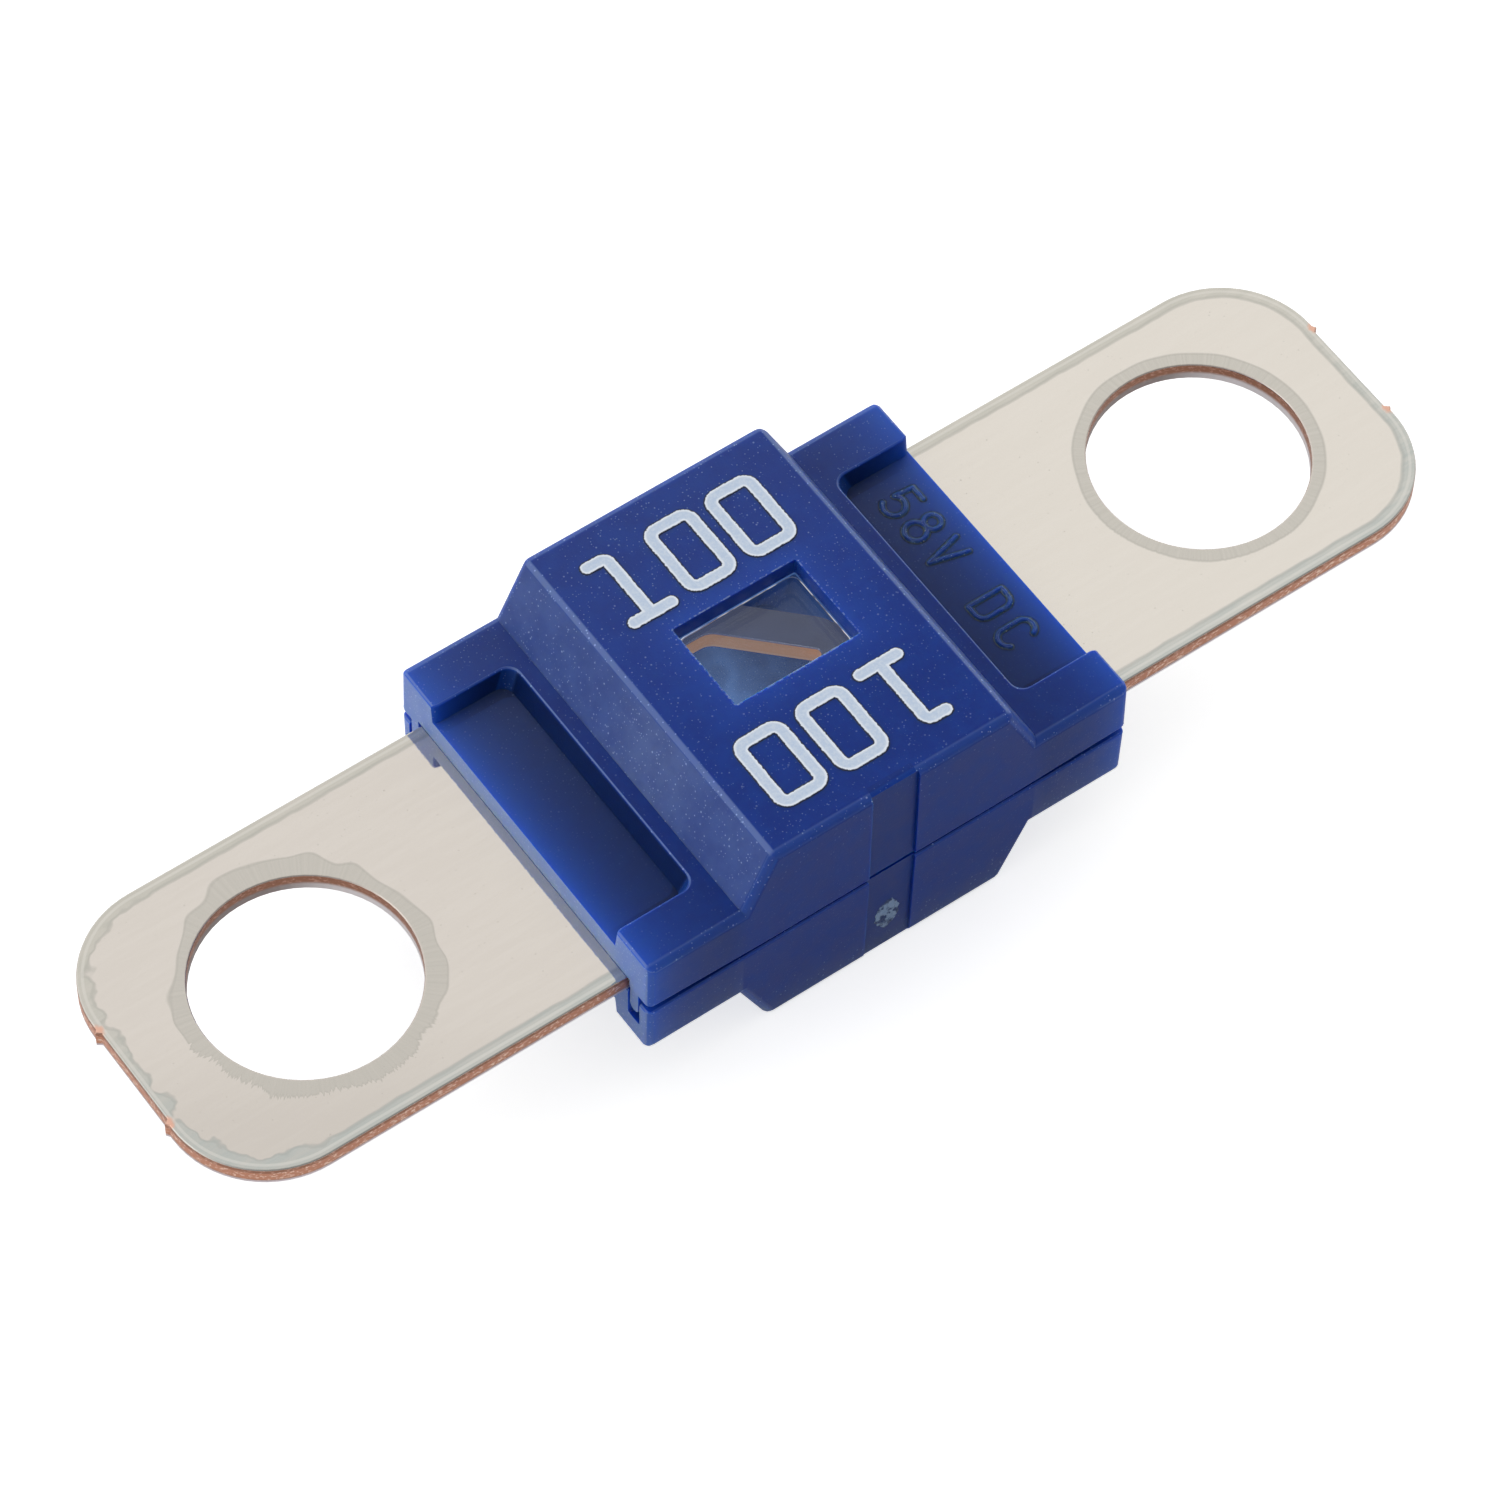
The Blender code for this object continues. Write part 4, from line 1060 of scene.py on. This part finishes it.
def ink_profile(depth, x, y):
    """Ink height: a quick rise over the border, then a level film with a slightly swollen edge."""
    edge = np.clip(depth / INK_MARGIN, 0, 1)
    film = edge * edge * (3 - 2 * edge) * INK_FILM
    lip = np.exp(-((depth - 2 * INK_MARGIN) / INK_MARGIN) ** 2) * INK_LIP
    return INK_HEIGHT * (film + lip + INK_UNEVENNESS * wobble(x, y, *INK_WAVES))


def printed_ratings():
    """The figure 100 in plain strokes, once on each side of the window, each upright from its own side."""
    ink = marking_ink("marking_ink")
    margin = 2 * STROKE_HALF_WIDTH
    low = (ONE_FLAG_END - margin, DIGIT_LOW - margin)
    high = (ZERO_CENTERS[1] + ZERO_HALF_WIDTH + margin, DIGIT_HIGH + margin)
    center = RATING_TURN_CENTER
    far = placing((0, 0, PRINT_FACE), (1, 0, 0), (0, 1, 0), (0, 0, 1))
    near = placing((2 * center[0], 2 * center[1], PRINT_FACE), (-1, 0, 0), (0, -1, 0), (0, 0, 1))
    for name, place in (("printed_rating_far", far), ("printed_rating_near", near)):
        relief(name, rating_distance, low, high, INK_CELL, ink_profile, place, ink)


def letter_five(x, y):
    """Figure 5: top bar, short stem and a round bowl."""
    top_left = (FIVE_TOP[0] * LETTER_WIDTH, LETTER_HEIGHT)
    bowl = (FIVE_BOWL_PLACE[0] * LETTER_WIDTH, FIVE_BOWL_PLACE[1] * LETTER_WIDTH)
    return nearest(
        to_segment(x, y, top_left, (FIVE_TOP[1] * LETTER_WIDTH, LETTER_HEIGHT)),
        to_segment(x, y, top_left, (FIVE_STEM_FOOT[0] * LETTER_WIDTH, FIVE_STEM_FOOT[1] * LETTER_HEIGHT)),
        to_arc(x, y, bowl, FIVE_BOWL_RADIUS * LETTER_WIDTH, *FIVE_BOWL_TURN))


def letter_eight(x, y):
    """Figure 8: a smaller ring on a larger one."""
    large, small = (share * LETTER_HEIGHT for share in EIGHT_RINGS)
    return nearest(
        to_arc(x, y, (LETTER_WIDTH / 2, large), large, 0, 360),
        to_arc(x, y, (LETTER_WIDTH / 2, LETTER_HEIGHT - small), small, 0, 360))


def letter_v(x, y):
    """Letter V: two strokes that meet at the foot."""
    foot = (LETTER_WIDTH / 2, 0)
    return nearest(to_segment(x, y, (0, LETTER_HEIGHT), foot),
                   to_segment(x, y, (LETTER_WIDTH, LETTER_HEIGHT), foot))


def letter_d(x, y):
    """Letter D: a loop that is square on the left and round on the right."""
    half = (LETTER_WIDTH / 2, LETTER_HEIGHT / 2)
    return to_loop(x, y, half, half, *(share * LETTER_WIDTH for share in D_CORNERS))


def letter_c(x, y):
    """Letter C: two arcs joined on the left."""
    radius = LETTER_WIDTH / 2
    return nearest(
        to_arc(x, y, (radius, LETTER_HEIGHT - radius), radius, C_OPENING, 180),
        to_arc(x, y, (radius, radius), radius, 180, 360 - C_OPENING),
        to_segment(x, y, (0, radius), (0, LETTER_HEIGHT - radius)))


def voltage_distance(x, y):
    """Distance outside the strokes of 58V DC; x runs along the text from the middle of the pocket."""
    letters = (letter_five, letter_eight, letter_v, letter_d, letter_c)
    away = [letter(x + center + LETTER_WIDTH / 2, y) for letter, center in zip(letters, LETTER_CENTERS)]
    return nearest(*away) - LETTER_HALF_STROKE


def ridge_profile(depth, x, y):
    """Soft ridge: height follows half a cosine wave from the outline to the stroke's middle."""
    share = np.clip(depth / LETTER_HALF_STROKE, 0, 1)
    ridge = 0.5 - 0.5 * np.cos(np.pi * share)
    return LETTER_RISE * ridge * (1 + LETTER_UNEVENNESS * wobble(x, y, *LETTER_WAVES))


def moulded_rating(finish):
    """Raised voltage rating on the right pocket's floor, its tops towards the end of the strip."""
    place = placing((LETTER_BASE_X, 0, POCKET_FLOOR), (0, -1, 0), (1, 0, 0), (0, 0, 1))
    margin = 2 * LETTER_HALF_STROKE
    low = (-LETTER_CENTERS[0] - LETTER_WIDTH / 2 - margin, -margin)
    high = (-LETTER_CENTERS[-1] + LETTER_WIDTH / 2 + margin, LETTER_HEIGHT + margin)
    relief("moulded_rating", voltage_distance, low, high, LETTER_CELL, ridge_profile, place, finish)


def gate_distance(x, y):
    """Distance outside an uneven ellipse, scaled to its half width."""
    radius = np.hypot(x / GATE_HALF[0], y / GATE_HALF[1])
    return (radius - 1) * GATE_HALF[0] + GATE_RAGGEDNESS * wobble(x, y, *GATE_OUTLINE_WAVES)


def gate_profile(depth, x, y):
    """Torn surface: a shallow dome broken by two sizes of random lumps."""
    dome = np.sqrt(np.clip(depth / GATE_HALF[0], 0, 1))
    torn = GATE_LUMPS * wobble(x, y, *GATE_LUMP_WAVES) + GATE_CRUMBS * wobble(x, y, *GATE_CRUMB_WAVES)
    return GATE_RISE * dome * np.clip(GATE_LEVEL + torn, *GATE_LEVEL_LIMITS)


def gate_mark():
    """Stub of the moulding gate in the side recess of the lower shell."""
    middle = (GATE_CENTER[0], lower_low.y + GATE_RECESS, GATE_CENTER[1])
    high = (GATE_REACH * GATE_HALF[0], GATE_REACH * GATE_HALF[1])
    place = placing(middle, (1, 0, 0), (0, 0, 1), (0, -1, 0))
    relief("gate_mark", gate_distance, (-high[0], -high[1]), high, GATE_CELL, gate_profile, place,
           torn_plastic("torn_plastic"))


def white_floor():
    """Pale table that shows white to the camera and in reflections, and keeps the fuse's shadow."""
    mesh = bpy.data.meshes.new("floor")
    corners = [(-1, -1), (1, -1), (1, 1), (-1, 1)]
    mesh.from_pydata([(x * FLOOR_HALF, y * FLOOR_HALF, 0) for x, y in corners], [], [(0, 1, 2, 3)])
    floor = shown("floor", mesh)
    made, w, shader = new_material("table_white", Base_Color=FLOOR_GREY, Roughness=1.0,
                                   Specular_IOR_Level=0.0, Emission_Color=WHITE)
    paths = w.add("ShaderNodeLightPath").outputs
    mirrored = w.most(paths["Is Glossy Ray"], paths["Is Transmission Ray"])
    w.fill(shader, Emission_Strength=w.most(w.times(paths["Is Camera Ray"], FLOOR_SEEN),
                                            w.times(mirrored, FLOOR_MIRRORED)))
    mesh.materials.append(made)


def soft_lamp():
    """Square soft lamp above and to the left of the fuse, turned towards it."""
    data = bpy.data.lights.new("left_softbox", "AREA")
    data.energy = SOFTBOX_POWER
    data.size = SOFTBOX_SIZE
    lamp = shown("left_softbox", data)
    lamp.location = SOFTBOX_PLACE
    lamp.rotation_euler = (Vector(SOFTBOX_AIM) - Vector(SOFTBOX_PLACE)).to_track_quat("-Z", "Y").to_euler()


def studio_surroundings():
    """White surroundings, brighter on the left and darker behind the camera.

    Mirrored parts show at most MIRRORED_SKY of them, and the camera sees them as plain white.
    """
    world = bpy.data.worlds.new("studio")
    bpy.context.scene.world = world
    world.use_nodes = True
    w = Wiring(world.node_tree)
    direction = w.add("ShaderNodeTexCoord").outputs["Generated"]
    leftward = w.vector("DOT_PRODUCT", direction, SKY_SIDE)
    brightness = w.plus(w.ramp(leftward, *SKY_SIDE_RAMP), w.ramp(w.axes(direction)[1], *SKY_DEPTH_RAMP))
    paths = w.add("ShaderNodeLightPath").outputs
    mirrored = w.math("MINIMUM", brightness, MIRRORED_SKY)
    for seen, value in (("Is Glossy Ray", mirrored), ("Is Camera Ray", 1.0)):
        chosen = w.add("ShaderNodeMix", data_type="FLOAT")
        brightness = w.fill(chosen, Factor=paths[seen], A=brightness, B=value)["Result"]
    w.fill(world.node_tree.nodes["Background"], Color=WHITE, Strength=brightness)


def photograph_camera():
    """Camera on the photograph's line of sight, rolled as the photograph is."""
    forward = Vector((math.cos(VIEW_ELEVATION) * math.sin(VIEW_HEADING),
                      math.cos(VIEW_ELEVATION) * math.cos(VIEW_HEADING), -math.sin(VIEW_ELEVATION)))
    right = forward.cross(Vector((0, 0, 1))).normalized()
    level_up = right.cross(forward)
    across = right * math.cos(VIEW_ROLL) + level_up * math.sin(VIEW_ROLL)
    up = across.cross(forward)
    data = bpy.data.cameras.new("photograph_camera")
    data.lens = LENS
    data.sensor_width = SENSOR_WIDTH
    data.clip_start = CLIP_NEAR
    data.clip_end = CLIP_FAR
    camera = shown("photograph_camera", data)
    rows = [(across[axis], up[axis], -forward[axis], AIM_POINT[axis] - forward[axis] * VIEW_DISTANCE)
            for axis in range(3)]
    camera.matrix_world = Matrix([*rows, (0, 0, 0, 1)])
    bpy.context.scene.camera = camera


upper_blue = moulded_blue("upper_blue", 1.0)
lower_blue = moulded_blue("lower_blue", 0.0)
dressed_node("upper_shell", upper_blue)
dressed_node("lower_shell", lower_blue)
dressed_node("fuse_strip", tinned_copper("tinned_copper"), STRIP_EDGE_RADIUS)
dressed_node("window_pane", clear_pane("clear_pane"), PANE_EDGE_RADIUS)
printed_ratings()
moulded_rating(upper_blue)
gate_mark()
white_floor()
studio_surroundings()
soft_lamp()
photograph_camera()
bpy.context.scene.view_settings.view_transform = "Standard"
